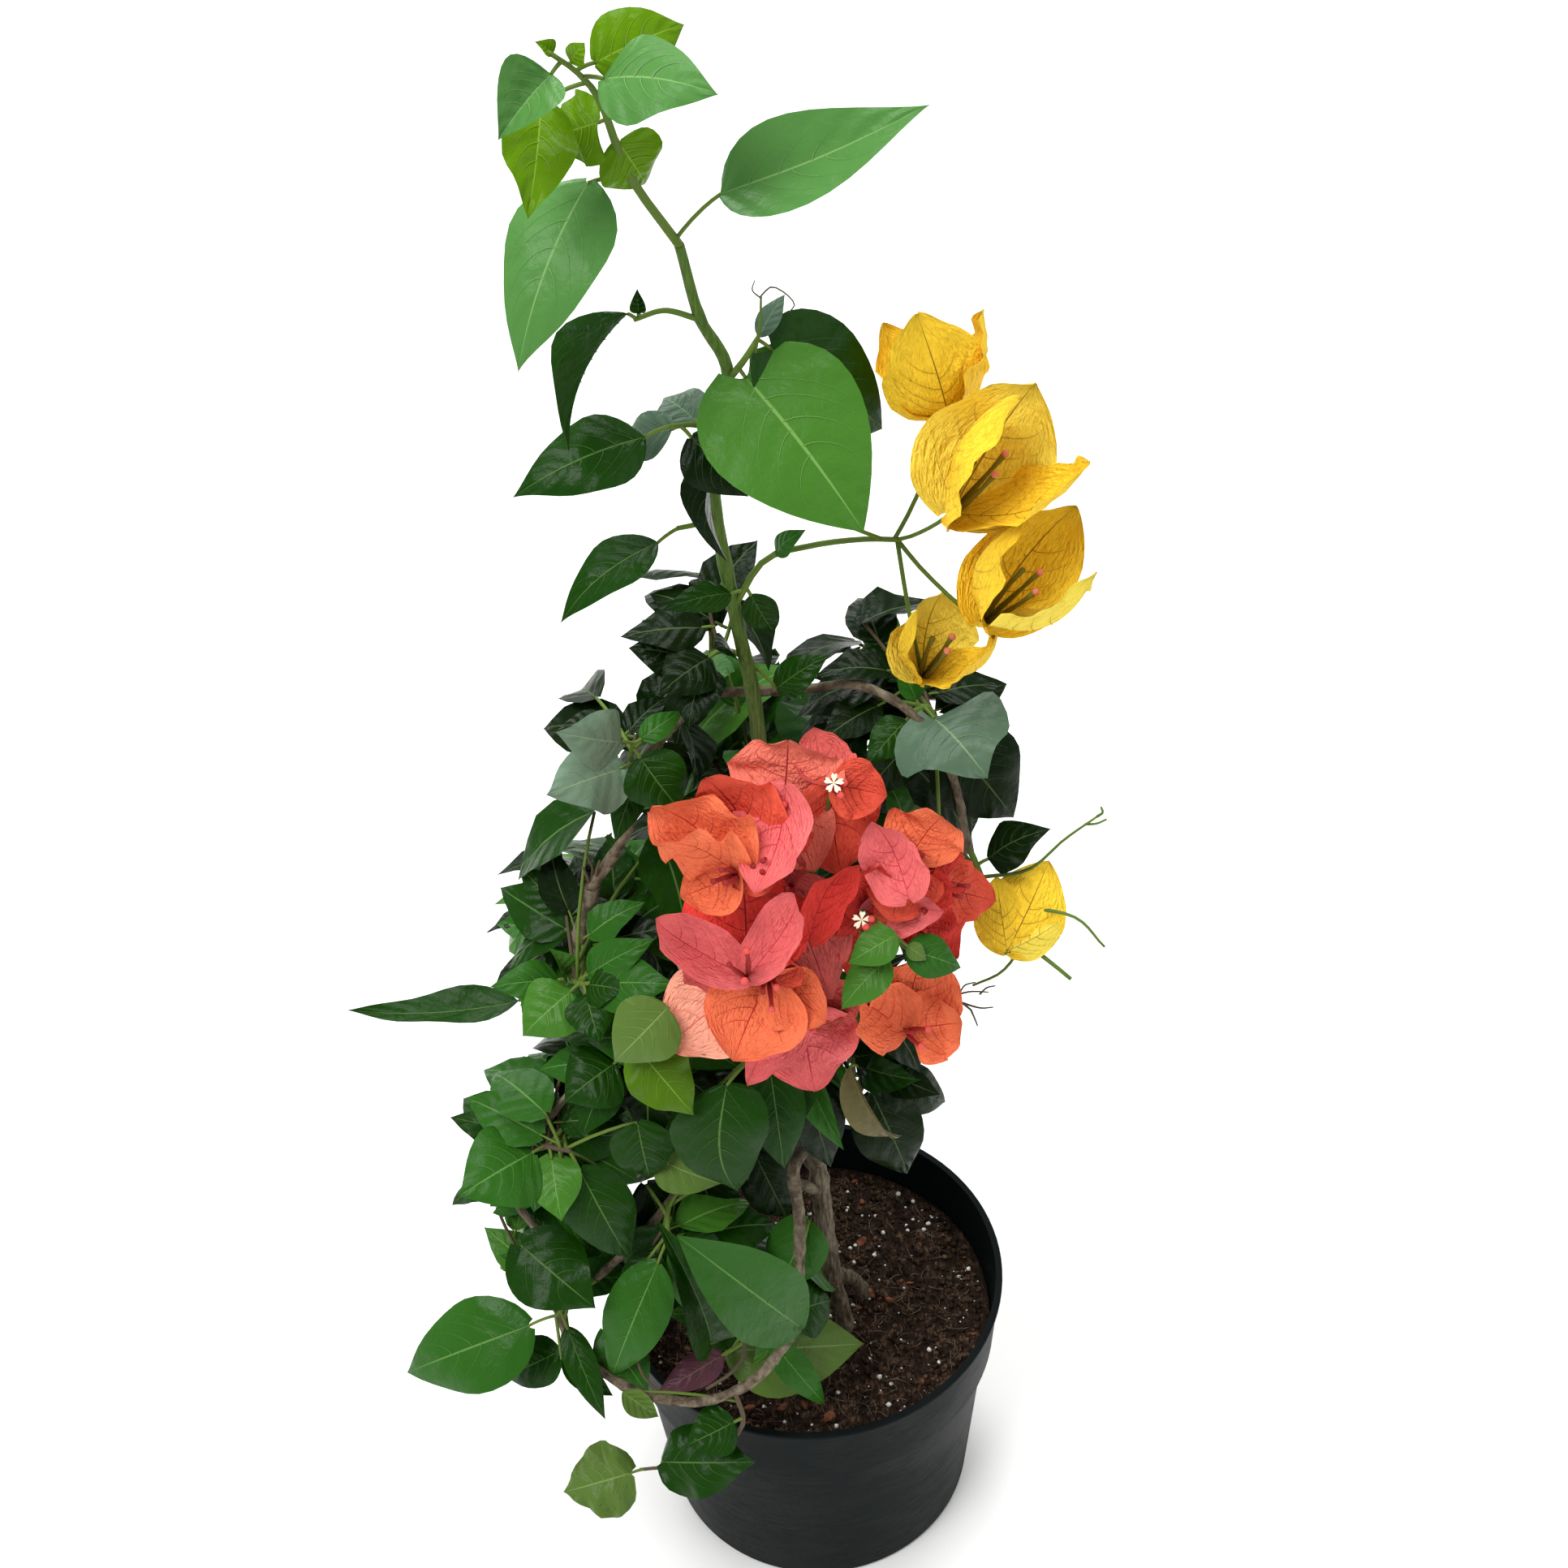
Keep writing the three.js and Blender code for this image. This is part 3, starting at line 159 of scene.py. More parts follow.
# Masses. A leaf is (place on the stem, tip, blade width, roll in degrees, tint, form, petiole's share).
# A petiole is its share of the leaf, or its end. A bloom is (place on the stem, root, axis, tube length,
# tint, ends of its tubes, bracts), and a bract is (tip, width, form), with a tint of its own at times.
MASSES = {
    "top_shoot": {
        "radii": (1.8, 0.8),
        "path": [(-23, -25, 794), (-38, -35, 827), (-44, -45, 857), (-50, -52, 871), (-58, -62, 883)],
        "leaves": [
            (0.02, (67, -47, 849), 33, 6, "bright", "sail", (-7, -30, 815)),
            (0.25, (-82, -76, 778), 38, 8, "bright", "plain", (-52, -38, 826)),
            (0.4, (-32, -28, 818), 26, 25, "lime", "plain"),
            (0.45, (-62, -36, 842), 26, -20, "lime", "curly"),
            (0.74, (-6, -72, 872), 32, 0, "bright", "plain"),
            (0.8, (-14, -32, 878), 26, 20, "lime", "plain"),
            (0.92, (-76, -77, 862), 22, -10, "bright", "folded"),
            (0.68, (-70, -76, 833), 26, -20, "lime", "wavy", (-64, -46, 859)),
            (0.86, (-47, -56, 883), 9, 0, "lime", "plain"),
            (0.97, (-62, -60, 886), 6, 0, "lime", "folded")],
    },
    "folded_leaf": {
        "radii": (1.2, 1),
        "path": [(-18, -20, 761), (-30, -28, 770), (-41, -35, 771)],
        "leaves": [
            (1, (-71, -55, 731), 27, 62, "deep", "folded", (-43, -36, 774)),
            (0.95, (-39, -33, 782), 6, 0, "deep", "folded")],
    },
    "heart_leaves": {
        "radii": (1.5, 1.1),
        "path": [(-10, -15, 731), (-3, -19, 742), (3, -15, 749)],
        "leaves": [
            (0.35, (38, -62, 692), 63, 0, "fresh", "heart", 0.06),
            (1, (50, -2, 698), 46, 10, "deep", "heart", 0.1),
            (0.9, (14, -2, 760), 9, 0, "glaucous", "plain")],
    },
    "dark_leaves": {
        "radii": (1.4, 1),
        "path": [(-13, -15, 708), (-22, -23, 718), (-32, -29, 722)],
        "leaves": [
            (1, (-92, -50, 711), 30, 0, "deep", "drooping"),
            (0.85, (-4, -38, 694), 26, 10, "dark", "plain"),
            (0.2, (-16, -38, 664), 17, 55, "dark", "folded"),
            (0.75, (-57, -3, 696), 20, 0, "glaucous", "plain"),
            (0.4, (-36, 4, 716), 22, 0, "glaucous", "plain")],
    },
    "long_leaf": {
        "radii": (1.2, 1),
        "path": [(-17, -14, 669), (-25, -20, 671), (-33, -25, 673)],
        "leaves": [(1, (-83, -46, 650), 24, 18, "deep", "arching")],
    },
    "yellow_spray": {
        "radii": (1.4, 1.1),
        "path": [(-13, -10, 623), (0, -15, 648), (19, -18, 656), (39, -20, 659), (55, -22, 659)],
        "sprigs": [(0.9, [(29, -28, 674), (2, -26, 690)])],
        "leaves": [
            (0.08, (-41, -30, 639), 14, 0, "deep", "drooping"),
            (0.3, (16, -24, 668), 10, 0, "mid", "plain"),
            (0.1, (3, -6, 603), 15, 20, "deep", "plain")],
        "blooms": [
            (0.98, (75, -4, 703), (-0.3, 0.4, 0.9), 14, "gold", "", [
                ((63, -6, 750), 42, "turned"), ((90, 16, 738), 38, "cup"), ((52, 24, 730), 36, "cup")]),
            (1, (74, -30, 676), (0.4, -0.3, 0.8), 34, "gold", "buds", [
                ((97, -50, 738), 42, "turned"), ((106, -24, 728), 56, "cup", "sun"),
                ((122, -58, 714), 36, "turned")]),
            (1, (86, -38, 628), (0.5, -0.3, 0.8), 34, "gold", "buds", [
                ((96, -54, 689), 34, "folded"), ((122, -34, 678), 46, "cup"),
                ((126, -70, 668), 30, "folded", "sun")]),
            (1, (62, -32, 597), (0.3, -0.3, 0.85), 28, "sun", "buds", [
                ((56, -50, 644), 20, "folded", "gold"), ((71, -28, 637), 40, "cup"),
                ((92, -54, 631), 22, "folded", "gold")])],
    },
    # The masses under the collar take mostly the dark tint, which is partly painted shade.
    "collar_back": {
        "radii": (1.5, 1),
        "path": [(-9, 0, 588), (-20, 6, 588), (-30, 8, 582)],
        "leaves": [
            (0.3, (-22, -15, 607), 15, 0, "dark", "plain"),
            (0.6, (-47, -16, 585), 26, 0, "dark", "plain"),
            (0.8, (-37, -22, 570), 24, 15, "dark", "plain"),
            (0.2, (24, -4, 590), 17, 0, "deep", "plain", (2, -2, 572)),
            (1, (-60, 10, 590), 22, 0, "dark", "plain")],
        "twigs": {"count": 4, "leaf": 44, "seed": 11, "finer": 0, "fill": 0},
        "space": ((-28, 30, 590), (50, 48, 42)), "tints": ["dark", "deep", "dark"],
    },
    "collar_left": {
        "radii": (1.4, 1),
        "path": [(-58, -11, 539), (-62, -20, 552), (-60, -25, 566)],
        "leaves": [
            # This leaf and the lobed one below take the lighter grey-green tint, which is painted light.
            (1, (-86, -52, 595), 27, -30, "silvery", "plain"),
            (0.95, (-38, -10, 570), 12, 0, "mid", "plain"),
            (0.9, (-42, -34, 533), 29, 12, "deep", "plain"),
            (0.35, (-96, -52, 563), 33, -15, "silvery", "lobed"),
            (0.1, (-72, -36, 520), 15, 0, "deep", "plain")],
        "twigs": {"count": 4, "leaf": 48, "seed": 132, "finer": 2, "fill": 1},
        "space": ((-58, 24, 530), (50, 52, 48)), "tints": ["dark", "deep", "dark"],
    },
    "collar_right": {
        "radii": (1.6, 1),
        "path": [(57, -14, 563), (66, -6, 560), (70, -2, 548)],
        "leaves": [
            (0.4, (86, -62, 566), 52, 0, "glaucous", "lobed"),
            (1, (105, -14, 498), 44, 10, "dark", "plain"),
            (0.9, (36, -4, 508), 24, 0, "dark", "plain"),
            (0.15, (38, -30, 550), 18, 0, "deep", "curly"),
            (0.9, (36, -48, 520), 15, 0, "dark", "plain", (68, -40, 524)),
            (0.3, (54, 4, 580), 12, 0, "mid", "folded")],
        "twigs": {"count": 6, "leaf": 58, "seed": 16, "fill": 3},
        "space": ((52, 32, 528), (64, 56, 58)), "tints": ["dark", "deep", "dark"],
    },
    "coral_blooms": {
        "radii": (2.2, 1.6),
        "path": [(-6, 4, 478), (2, -34, 498), (10, -62, 512)],
        "blooms": [
            (1, (2, -63, 562), (-0.05, -0.7, 0.7), 20, "coral", "buds", [
                ((5, -60, 590), 50, "broad"), ((13, -82, 538), 34, "broad")]),
            (1, (3, -76, 581), (-0.5, -0.8, 0.3), 0, "pink", "", [((-11, -104, 549), 34, "folded")]),
            (1, (22, -64, 570), (0.2, -0.7, 0.5), 12, "coral_deep", "star", [
                ((16, -38, 579), 26, "cup", "dusky"), ((25, -78, 530), 44, "broad"),
                ((44, -64, 562), 26, "folded")]),
            (0.9, (-19, -92, 549), (-0.5, -0.7, 0.5), 14, "orange", "", [
                ((-50, -96, 589), 42, "broad"), ((-46, -112, 580), 30, "creased"),
                ((-42, -100, 546), 28, "cup")]),
            (0.95, (-7, -86, 550), (-0.2, -0.8, 0.5), 12, "coral", "", [
                ((-28, -92, 598), 37, "broad", "coral_deep"),
                ((-20, -98, 548), 22, "creased", "coral_deep")]),
            (1, (54, -70, 534), (0.1, -0.8, 0.5), 12, "coral_deep", "", [
                ((66, -74, 556), 36, "broad", "orange"), ((44, -90, 514), 36, "broad")]),
            (1, (51, -86, 524), (-0.3, -0.8, 0.4), 0, "pink", "", [((37, -80, 564), 28, "folded")]),
            (0.9, (66, -62, 507), (0.6, -0.6, 0.4), 14, "coral_deep", "", [
                ((92, -60, 494), 28, "creased"), ((64, -70, 533), 26, "folded", "red"),
                ((74, -78, 478), 30, "creased", "red")]),
            (0.85, (-18, -98, 496), (-0.1, -0.6, 0.9), 30, "pink", "buds", [
                ((-54, -114, 550), 24, "folded"), ((6, -110, 556), 23, "folded"),
                ((-18, -86, 552), 54, "broad", "red")]),
            (0.8, (2, -80, 530), (0.1, -0.8, 0.4), 10, "dusky", "", [
                ((17, -100, 480), 42, "broad"), ((-8, -76, 545), 24, "cup")]),
            (0.85, (9, -93, 511), (0.3, -0.8, 0.3), 0, "red", "", [((30, -94, 555), 21, "folded")]),
            (0.75, (-22, -84, 474), (-0.4, -0.8, 0.3), 12, "salmon", "", [
                ((-56, -98, 455), 45, "broad"), ((-42, -94, 505), 28, "folded", "dusky")]),
            (0.8, (-9, -92, 487), (0, -0.85, 0.4), 18, "orange", "buds", [
                ((-26, -114, 462), 46, "cup"), ((14, -103, 471), 30, "folded"),
                ((-6, -92, 508), 28, "folded", "coral_deep")]),
            (0.7, (4, -84, 458), (0.1, -0.8, 0.1), 12, "pink", "star", [
                ((8, -102, 425), 48, "broad"), ((32, -82, 470), 32, "cup", "dusky"),
                ((-22, -98, 430), 26, "folded")]),
            (0.75, (50, -78, 435), (0.2, -0.7, 0.6), 20, "orange", "buds", [
                ((28, -90, 474), 32, "folded"), ((60, -74, 480), 42, "cup"),
                ((72, -88, 448), 34, "creased")]),
            (0.95, (32, -80, 510), (0.1, -0.85, 0.4), 9, "red", "star", [
                ((40, -82, 541), 22, "folded"), ((26, -93, 484), 18, "creased"),
                ((66, -84, 514), 22, "folded", "pink")]),
            (0.85, (56, -72, 506), (0.3, -0.8, 0.3), 12, "red", "", [
                ((38, -86, 516), 26, "creased", "coral_deep"), ((66, -84, 486), 28, "creased"),
                ((62, -74, 530), 26, "folded")])],
        "leaves": [
            (0.9, (24, -99, 501), 17, 0, "fresh", "plain", (45, -94, 511)),
            (0.85, (20, -103, 478), 19, 10, "fresh", "plain", (41, -92, 495)),
            (0.9, (74, -88, 483), 19, 0, "mid", "plain", (50, -90, 498)),
            (0.88, (58, -94, 495), 8, 0, "olive", "plain", (50, -92, 502))],
    },
    "right_twigs": {
        "radii": (1.5, 0.9),
        "path": [(83, -20, 489), (97, -42, 464), (125, -58, 441)],
        "sprigs": [
            (0.2, [(108, -33, 486), (122, -40, 509), (135, -45, 526)]),
            (0.4, [(125, -48, 471), (140, -54, 456)]),
            (0.5, [(103, -44, 450), (96, -44, 434), (83, -42, 424)])],
        "blooms": [(0.45, (97, -52, 455), (0.1, 0.8, -0.5), 10, "gold", "", [
            ((118, -26, 484), 38, "turned"), ((94, -32, 482), 26, "cup"),
            ((124, -44, 466), 20, "folded", "sun")])],
        "leaves": [(0.12, (115, -32, 510), 24, -20, "dark", "drooping")],
    },
    "left_upper_leaves": {
        "radii": (1.8, 1.1),
        "path": [(-95, -26, 426), (-100, -38, 440), (-92, -50, 448)],
        "leaves": [
            (0.35, (-201, -46, 437), 20, 30, "deep", "sagging", (-124, -42, 432)),
            (0.4, (-134, -46, 447), 20, 0, "mid", "plain"),
            (0.9, (-122, -62, 430), 30, 0, "fresh", "plain"),
            (1, (-86, -76, 438), 23, 0, "deep", "plain"),
            (0.95, (-74, -62, 456), 21, 0, "deep", "plain"),
            (0.8, (-60, -50, 474), 20, 0, "mid", "plain"),
            (0.5, (-106, -40, 462), 12, 30, "fresh", "folded"),
            (0.95, (-52, -66, 462), 27, 0, "mid", "plain")],
        "twigs": {"count": 7, "leaf": 60, "seed": 21},
        "space": ((-78, -2, 446), (62, 48, 46)), "tints": ["deep", "mid", "dark", "deep"],
    },
    "left_middle_leaves": {
        "radii": (1.7, 1.1),
        "path": [(-84, -51, 400), (-78, -58, 408), (-72, -66, 414)],
        "leaves": [
            (0.5, (-106, -74, 398), 33, 0, "deep", "plain"),
            (1, (-79, -98, 447), 32, -10, "olive", "drooping", (-53, -88, 470)),
            (1, (-46, -100, 413), 30, 0, "yellowing", "curly", (-68, -86, 442)),
            (0.2, (-100, -78, 378), 24, 10, "deep", "plain")],
        "twigs": {"count": 8, "leaf": 62, "seed": 22},
        "space": ((-64, -46, 390), (58, 46, 46)), "tints": ["deep", "mid", "deep", "dark"],
    },
    "left_lower_leaves": {
        "radii": (1.8, 1.1),
        "path": [(-124, -58, 358), (-118, -70, 364), (-106, -78, 368)],
        "leaves": [
            (0.15, (-168, -68, 322), 27, 25, "deep", "curly"),
            (0.5, (-156, -98, 366), 42, 0, "mid", "plain"),
            (0.25, (-162, -60, 376), 22, 10, "deep", "curly"),
            (1, (-84, -92, 300), 33, 0, "deep", "plain"),
            (0.8, (-108, -86, 304), 18, 30, "deep", "plain"),
            (0.9, (-71, -80, 344), 30, 0, "deep", "plain", (-74, -76, 383)),
            (0.9, (-96, -70, 262), 25, 0, "deep", "plain", (-92, -62, 330)),
            (0.6, (-112, -100, 345), 26, 0, "fresh", "lobed")],
        "twigs": {"count": 9, "leaf": 62, "seed": 23},
        "space": ((-112, -40, 346), (58, 48, 54)), "tints": ["deep", "mid", "mid", "dark"],
    },
    "front_middle_leaves": {
        "radii": (2, 1.2),
        "path": [(0, 1, 382), (-4, -38, 408), (-18, -72, 418)],
        "leaves": [
            (1, (-30, -98, 352), 45, 0, "deep", "swung", (-31, -88, 418)),
            (0.95, (-38, -78, 337), 25, 10, "olive", "plain", (-68, -72, 352)),
            (0.85, (-8, -86, 352), 28, 0, "deep", "plain"),
            (0.6, (15, -64, 322), 34, 0, "dark", "plain"),
            (0.55, (20, -68, 342), 15, 15, "mid", "folded")],
        "twigs": {"count": 9, "leaf": 62, "seed": 24},
        "space": ((-20, -48, 366), (56, 44, 48)), "tints": ["deep", "dark", "mid", "dark"],
    },
    "right_low_leaves": {
        "radii": (1.8, 1.1),
        "path": [(3, -5, 330), (22, -22, 346), (36, -24, 348)],
        "leaves": [
            (0.95, (48, -50, 326), 17, 50, "brownish", "folded", (25, -58, 392)),
            (0.9, (54, -34, 278), 36, 0, "dark", "plain"),
            (1, (76, -12, 308), 27, 10, "dark", "plain")],
        "twigs": {"count": 5, "leaf": 56, "seed": 145},
        "space": ((36, -18, 372), (46, 44, 52)), "tints": ["dark", "deep", "dark"],
    },
    "front_left_leaves": {
        "radii": (1.7, 1.1),
        "path": [(-65, -62, 308), (-66, -74, 311), (-66, -84, 306)],
        "leaves": [
            (0.8, (-46, -82, 226), 23, 0, "fresh", "plain"),
            (1, (-102, -108, 226), 32, 0, "mid", "plain"),
            (0.9, (-83, -106, 213), 27, 0, "mid", "curly", (-102, -88, 243)),
            (0.5, (-62, -56, 256), 30, 0, "dark", "plain", (-76, -56, 314)),
            (0.3, (-38, -48, 260), 30, 10, "dark", "plain", (-52, -48, 316)),
            (0.2, (-8, -44, 262), 28, 0, "dark", "plain", (-22, -42, 312)),
            (0.4, (-82, -80, 256), 32, 0, "deep", "plain")],
        "twigs": {"count": 9, "leaf": 62, "seed": 26},
        "space": ((-66, -58, 262), (54, 44, 50)), "tints": ["mid", "deep", "deep", "fresh"],
    },
    "front_low_leaves": {
        "radii": (1.8, 1.1),
        "path": [(-6, -85, 256), (-22, -80, 228), (-46, -82, 208)],
        "leaves": [
            (0.12, (-62, -112, 350), 42, 0, "mid", "broad", (-5, -98, 249)),
            (0.6, (-66, -99, 336), 30, 20, "deep", "folded", (-50, -97, 240)),
            (1, (28, -60, 179), 50, 0, "olive", "plain", (-44, -68, 192)),
            (0.15, (-16, -62, 232), 31, 0, "mid", "plain", (2, -60, 284)),
            (0.3, (12, -62, 222), 32, 0, "deep", "plain"),
            (0.6, (6, -92, 170), 17, 0, "mid", "plain"),
            (0.9, (-80, -100, 204), 18, 0, "dead", "curly")],
        "twigs": {"count": 8, "leaf": 58, "seed": 27},
        "space": ((-34, -48, 222), (50, 42, 50)), "tints": ["mid", "deep", "fresh", "deep"],
    },
    "left_low_leaves": {
        "radii": (1.7, 1.1),
        "path": [(-104, -75, 268), (-114, -80, 264), (-126, -86, 254)],
        "leaves": [
            (0.6, (-102, -106, 286), 41, 0, "deep", "lobed", (-136, -82, 306)),
            (1, (-210, -82, 208), 47, 0, "mid", "plain"),
            (0.7, (-160, -80, 196), 26, 0, "deep", "plain", (-127, -82, 220)),
            (1, (-100, -108, 216), 13, 0, "deep", "folded", (-124, -98, 236)),
            (0.9, (-104, -122, 216), 16, 0, "deep", "plain")],
        "twigs": {"count": 8, "leaf": 58, "seed": 228},
        "space": ((-122, -46, 262), (48, 46, 48)), "tints": ["deep", "mid", "deep", "fresh"],
    },
    "hanging_leaves": {
        "radii": (1.3, 0.9),
        "path": [(-40, -112, 221), (-38, -118, 198), (-62, -119, 172), (-92, -114, 160)],
        "leaves": [
            (0.85, (-32, -129, 184), 37, 0, "deep", "curly", (-80, -118, 172)),
            (0.1, (-78, -118, 211), 13, 0, "olive", "folded", (-95, -111, 224)),
            (1, (-132, -118, 150), 39, 0, "olive", "ragged"),
            (0.25, (-66, -128, 200), 26, 0, "deep", "plain")],
    },
    "right_leaves": {
        "radii": (1.8, 1.1),
        "path": [(64, 14, 419), (62, 20, 436), (56, 26, 450)],
        "twigs": {"count": 9, "leaf": 66, "seed": 151},
        "space": ((46, 42, 428), (64, 66, 70)), "tints": ["dark", "deep", "mid", "dark"],
    },
    "back_leaves": {
        "radii": (1.8, 1.1),
        "path": [(-6, 60, 424), (-10, 62, 445), (-12, 64, 462)],
        "twigs": {"count": 10, "leaf": 66, "seed": 32},
        "space": ((-14, 74, 460), (78, 62, 84)), "tints": ["deep", "mid", "dark", "fresh"],
    },
    "back_left_leaves": {
        "radii": (1.8, 1.1),
        "path": [(-78, 40, 361), (-84, 44, 380), (-88, 46, 396)],
        "twigs": {"count": 10, "leaf": 66, "seed": 38},
        "space": ((-92, 44, 386), (74, 64, 72)), "tints": ["deep", "mid", "dark", "fresh"],
    },
    "back_low_leaves": {
        "radii": (1.7, 1.1),
        "path": [(-32, 22, 304), (-46, 30, 296), (-58, 32, 284)],
        "twigs": {"count": 9, "leaf": 64, "seed": 134},
        "space": ((-62, 42, 272), (70, 64, 58)), "tints": ["deep", "mid", "dark", "fresh"],
    },
}

# Small bare growths: finish, radii at root and tip, and path
BARE_TWIGS = [
    ("green_twig", (0.8, 0.4), [(1, -17, 742), (4, -17, 756), (5, -18, 768)]),
    ("brown_twig", (0.35, 0.25), [
        (5, -18, 768), (9, -19, 772), (14, -21, 770), (17, -22, 766), (15, -22, 763)]),
    ("brown_twig", (0.35, 0.2), [(5, -18, 767), (2, -19, 771), (3, -19, 775)]),
    ("green_twig", (0.7, 0.5), [(66, -16, 688), (67, -13, 694), (66, -12, 700)]),
    ("green_twig", (0.7, 0.45), [(135, -45, 526), (137, -46, 529), (136, -47, 533)]),
    ("green_twig", (0.6, 0.45), [(130, -43, 520), (135, -44, 521), (139, -45, 524)]),
    ("brown_twig", (0.8, 0.5), [(64, -40, 428), (74, -42, 418), (82, -44, 410)]),
    ("brown_twig", (0.55, 0.3), [(74, -42, 418), (82, -42, 420), (90, -44, 421)]),
    ("brown_twig", (0.55, 0.3), [(78, -43, 414), (86, -45, 412), (92, -46, 413)]),
    ("brown_twig", (0.5, 0.3), [(76, -42, 416), (79, -42, 424), (84, -43, 427)]),
    ("brown_twig", (0.5, 0.3), [(82, -44, 410), (84, -45, 404), (85, -46, 401)]),
    ("brown_twig", (0.5, 0.3), [(86, -44, 420), (89, -45, 425), (93, -45, 426)]),
    ("brown_twig", (1.1, 0.5), [(-84, -20, 482), (-83, -21, 490), (-81, -22, 497)]),
    ("brown_twig", (1.0, 0.4), [(-87, -20, 482), (-88, -21, 489), (-89, -21, 493)]),
    ("brown_twig", (0.9, 0.4), [(-86, -18, 482), (-85, -18, 490), (-87, -19, 498)]),
    ("brown_twig", (0.9, 0.8), [(-54, -111, 222), (-40, -104, 226), (-34, -96, 232), (-36, -88, 240)]),
    ("brown_twig", (0.8, 0.6), [(-76, -112, 222), (-84, -108, 232), (-88, -100, 244)]),
    ("brown_twig", (1.5, 1.0), [(-68, -118, 168), (-74, -117, 165), (-80, -116, 163)]),
]

# Pieces of the foliage, each with its slot and the masses that it stands for
PIECES = {
    "crown_leaves": ("leaf", ["top_shoot", "folded_leaf", "heart_leaves", "dark_leaves", "long_leaf"]),
    "collar_leaves": ("leaf", ["collar_back", "collar_left", "collar_right"]),
    "left_leaves": ("leaf", [
        "left_upper_leaves", "left_middle_leaves", "left_lower_leaves", "left_low_leaves"]),
    "front_leaves": ("leaf", [
        "front_middle_leaves", "front_left_leaves", "front_low_leaves", "right_low_leaves",
        "hanging_leaves"]),
    "rear_leaves": ("leaf", ["right_leaves", "back_leaves", "back_left_leaves", "back_low_leaves"]),
    "twigs": ("green_stem", ["right_twigs"]),
    "coral_bracts": ("coral_bloom", ["coral_blooms"]),
    "yellow_bracts": ("yellow_bloom", ["yellow_spray"]),
    "coral_tubes": ("coral_bloom", []),
    "yellow_tubes": ("yellow_bloom", []),
}

# How a blade is bent: folded along its midrib, waved and curled at its edges, lobed at its root,
# drooping towards its tip, swung to one side and twisted along its length
FORMS = {
    "plain": {"fold": 0.2, "wave": 0.05, "waves": 1.7, "curl": 0.3, "droop": 0.09, "lobe": 0.03},
    "broad": {"fold": 0.22, "wave": 0.04, "curl": -0.1, "droop": -0.05},
    "swung": {"fold": 0.14, "wave": 0.05, "curl": 0.3, "droop": 0.06, "swing": 0.09},
    "heart": {"fold": 0.1, "wave": 0.01, "curl": 0.1, "lobe": 0.1, "droop": 0.02},
    "sail": {"fold": 0.34, "wave": 0.05, "waves": 1, "swing": 0.05, "droop": -0.07},
    "folded": {"fold": 0.9, "wave": 0.05, "waves": 1.5, "droop": 0.06},
    "drooping": {"fold": 0.2, "wave": 0.05, "curl": 0.3, "droop": 0.12},
    "arching": {"fold": 0.3, "wave": 0.03, "curl": 0.2, "droop": 0.14},
    "curly": {"fold": 0.1, "wave": 0.12, "waves": 2.6, "curl": 0.35, "lobe": 0.04},
    "wavy": {"fold": 0.3, "wave": 0.12, "waves": 2.2, "curl": 0.1},
    "lobed": {"fold": 0.1, "wave": 0.1, "waves": 1.6, "curl": 0.2, "lobe": 0.1},
    "sagging": {"fold": 0.4, "wave": 0.1, "waves": 1.6, "sag": 0.16},
    "ragged": {"fold": 0.2, "wave": 0.14, "waves": 3.4, "curl": 0.3, "lobe": 0.06},
}
BRACT_FORMS = {
    "broad": {
        "fold": 0.06, "curl": 0.06, "wave": 0.09, "waves": 2.2, "ruffle": 0.022, "droop": 0.06, "lobe": 0.07},
    "cup": {"fold": 0.08, "curl": -0.34, "wave": 0.05, "waves": 2, "ruffle": 0.022, "lobe": 0.06},
    "turned": {"fold": 0.12, "curl": -0.3, "wave": 0.05, "waves": 2.4, "ruffle": 0.02, "lobe": 0.06},
    "folded": {
        "fold": 0.62, "curl": 0.1, "wave": 0.08, "waves": 1.8, "ruffle": 0.024, "droop": -0.06, "lobe": 0.05},
    "creased": {
        "fold": 0.25, "curl": 0.2, "wave": 0.13, "waves": 2.6, "ruffle": 0.03, "droop": 0.1, "lobe": 0.07},
}

# Colours as they look, red, green and blue up to 255
# The dark tint is partly the leaves' own deep green and partly painted shade: it is darker than a leaf's
# green, to give the look of leaves in shade, and it fills most of the shaded masses under the collar.
LEAF_TINTS = {
    "bright": (76, 125, 60), "lime": (84, 124, 4), "fresh": (61, 109, 34), "mid": (40, 88, 22),
    # The grey-green tint that is lighter than glaucous is the same leaf green made lighter: painted light,
    # for two leaves at the collar's left that turn away from the lamps.
    "deep": (20, 56, 4), "dark": (9, 28, 2), "glaucous": (74, 98, 78), "silvery": (102, 126, 104),
    "olive": (82, 108, 46), "yellowing": (70, 104, 14), "brownish": (98, 90, 50), "dead": (84, 50, 60),
}
VEIN_COLOUR = (196, 220, 150)
MIDRIB_LIGHTENING = 0.3
SIDE_VEIN_LIGHTENING = 0.2
BRACT_VEIN_SHARE = 0.72
BRACT_TINTS = {
    "coral": ((244, 128, 108), (150, 38, 42)), "coral_deep": ((236, 92, 70), (124, 26, 30)),
    "orange": ((250, 124, 84), (176, 48, 38)), "pink": ((248, 118, 118), (176, 42, 66)),
    "dusky": ((216, 98, 92), (134, 36, 46)), "red": ((220, 62, 54), (124, 20, 30)),
    "salmon": ((248, 168, 142), (208, 98, 84)), "gold": ((255, 210, 54), (142, 108, 22)),
    "sun": ((255, 229, 86), (150, 120, 28)),
}
STEM_TINTS = {
    "green_twig": (88, 112, 44), "pale_twig": (92, 114, 46), "brown_twig": (84, 72, 56),
    "coral_tube": (150, 44, 44), "coral_tube_end": (214, 84, 76), "yellow_tube": (112, 104, 34),
    "yellow_tube_end": (206, 122, 92), "petal": (246, 238, 208),
}


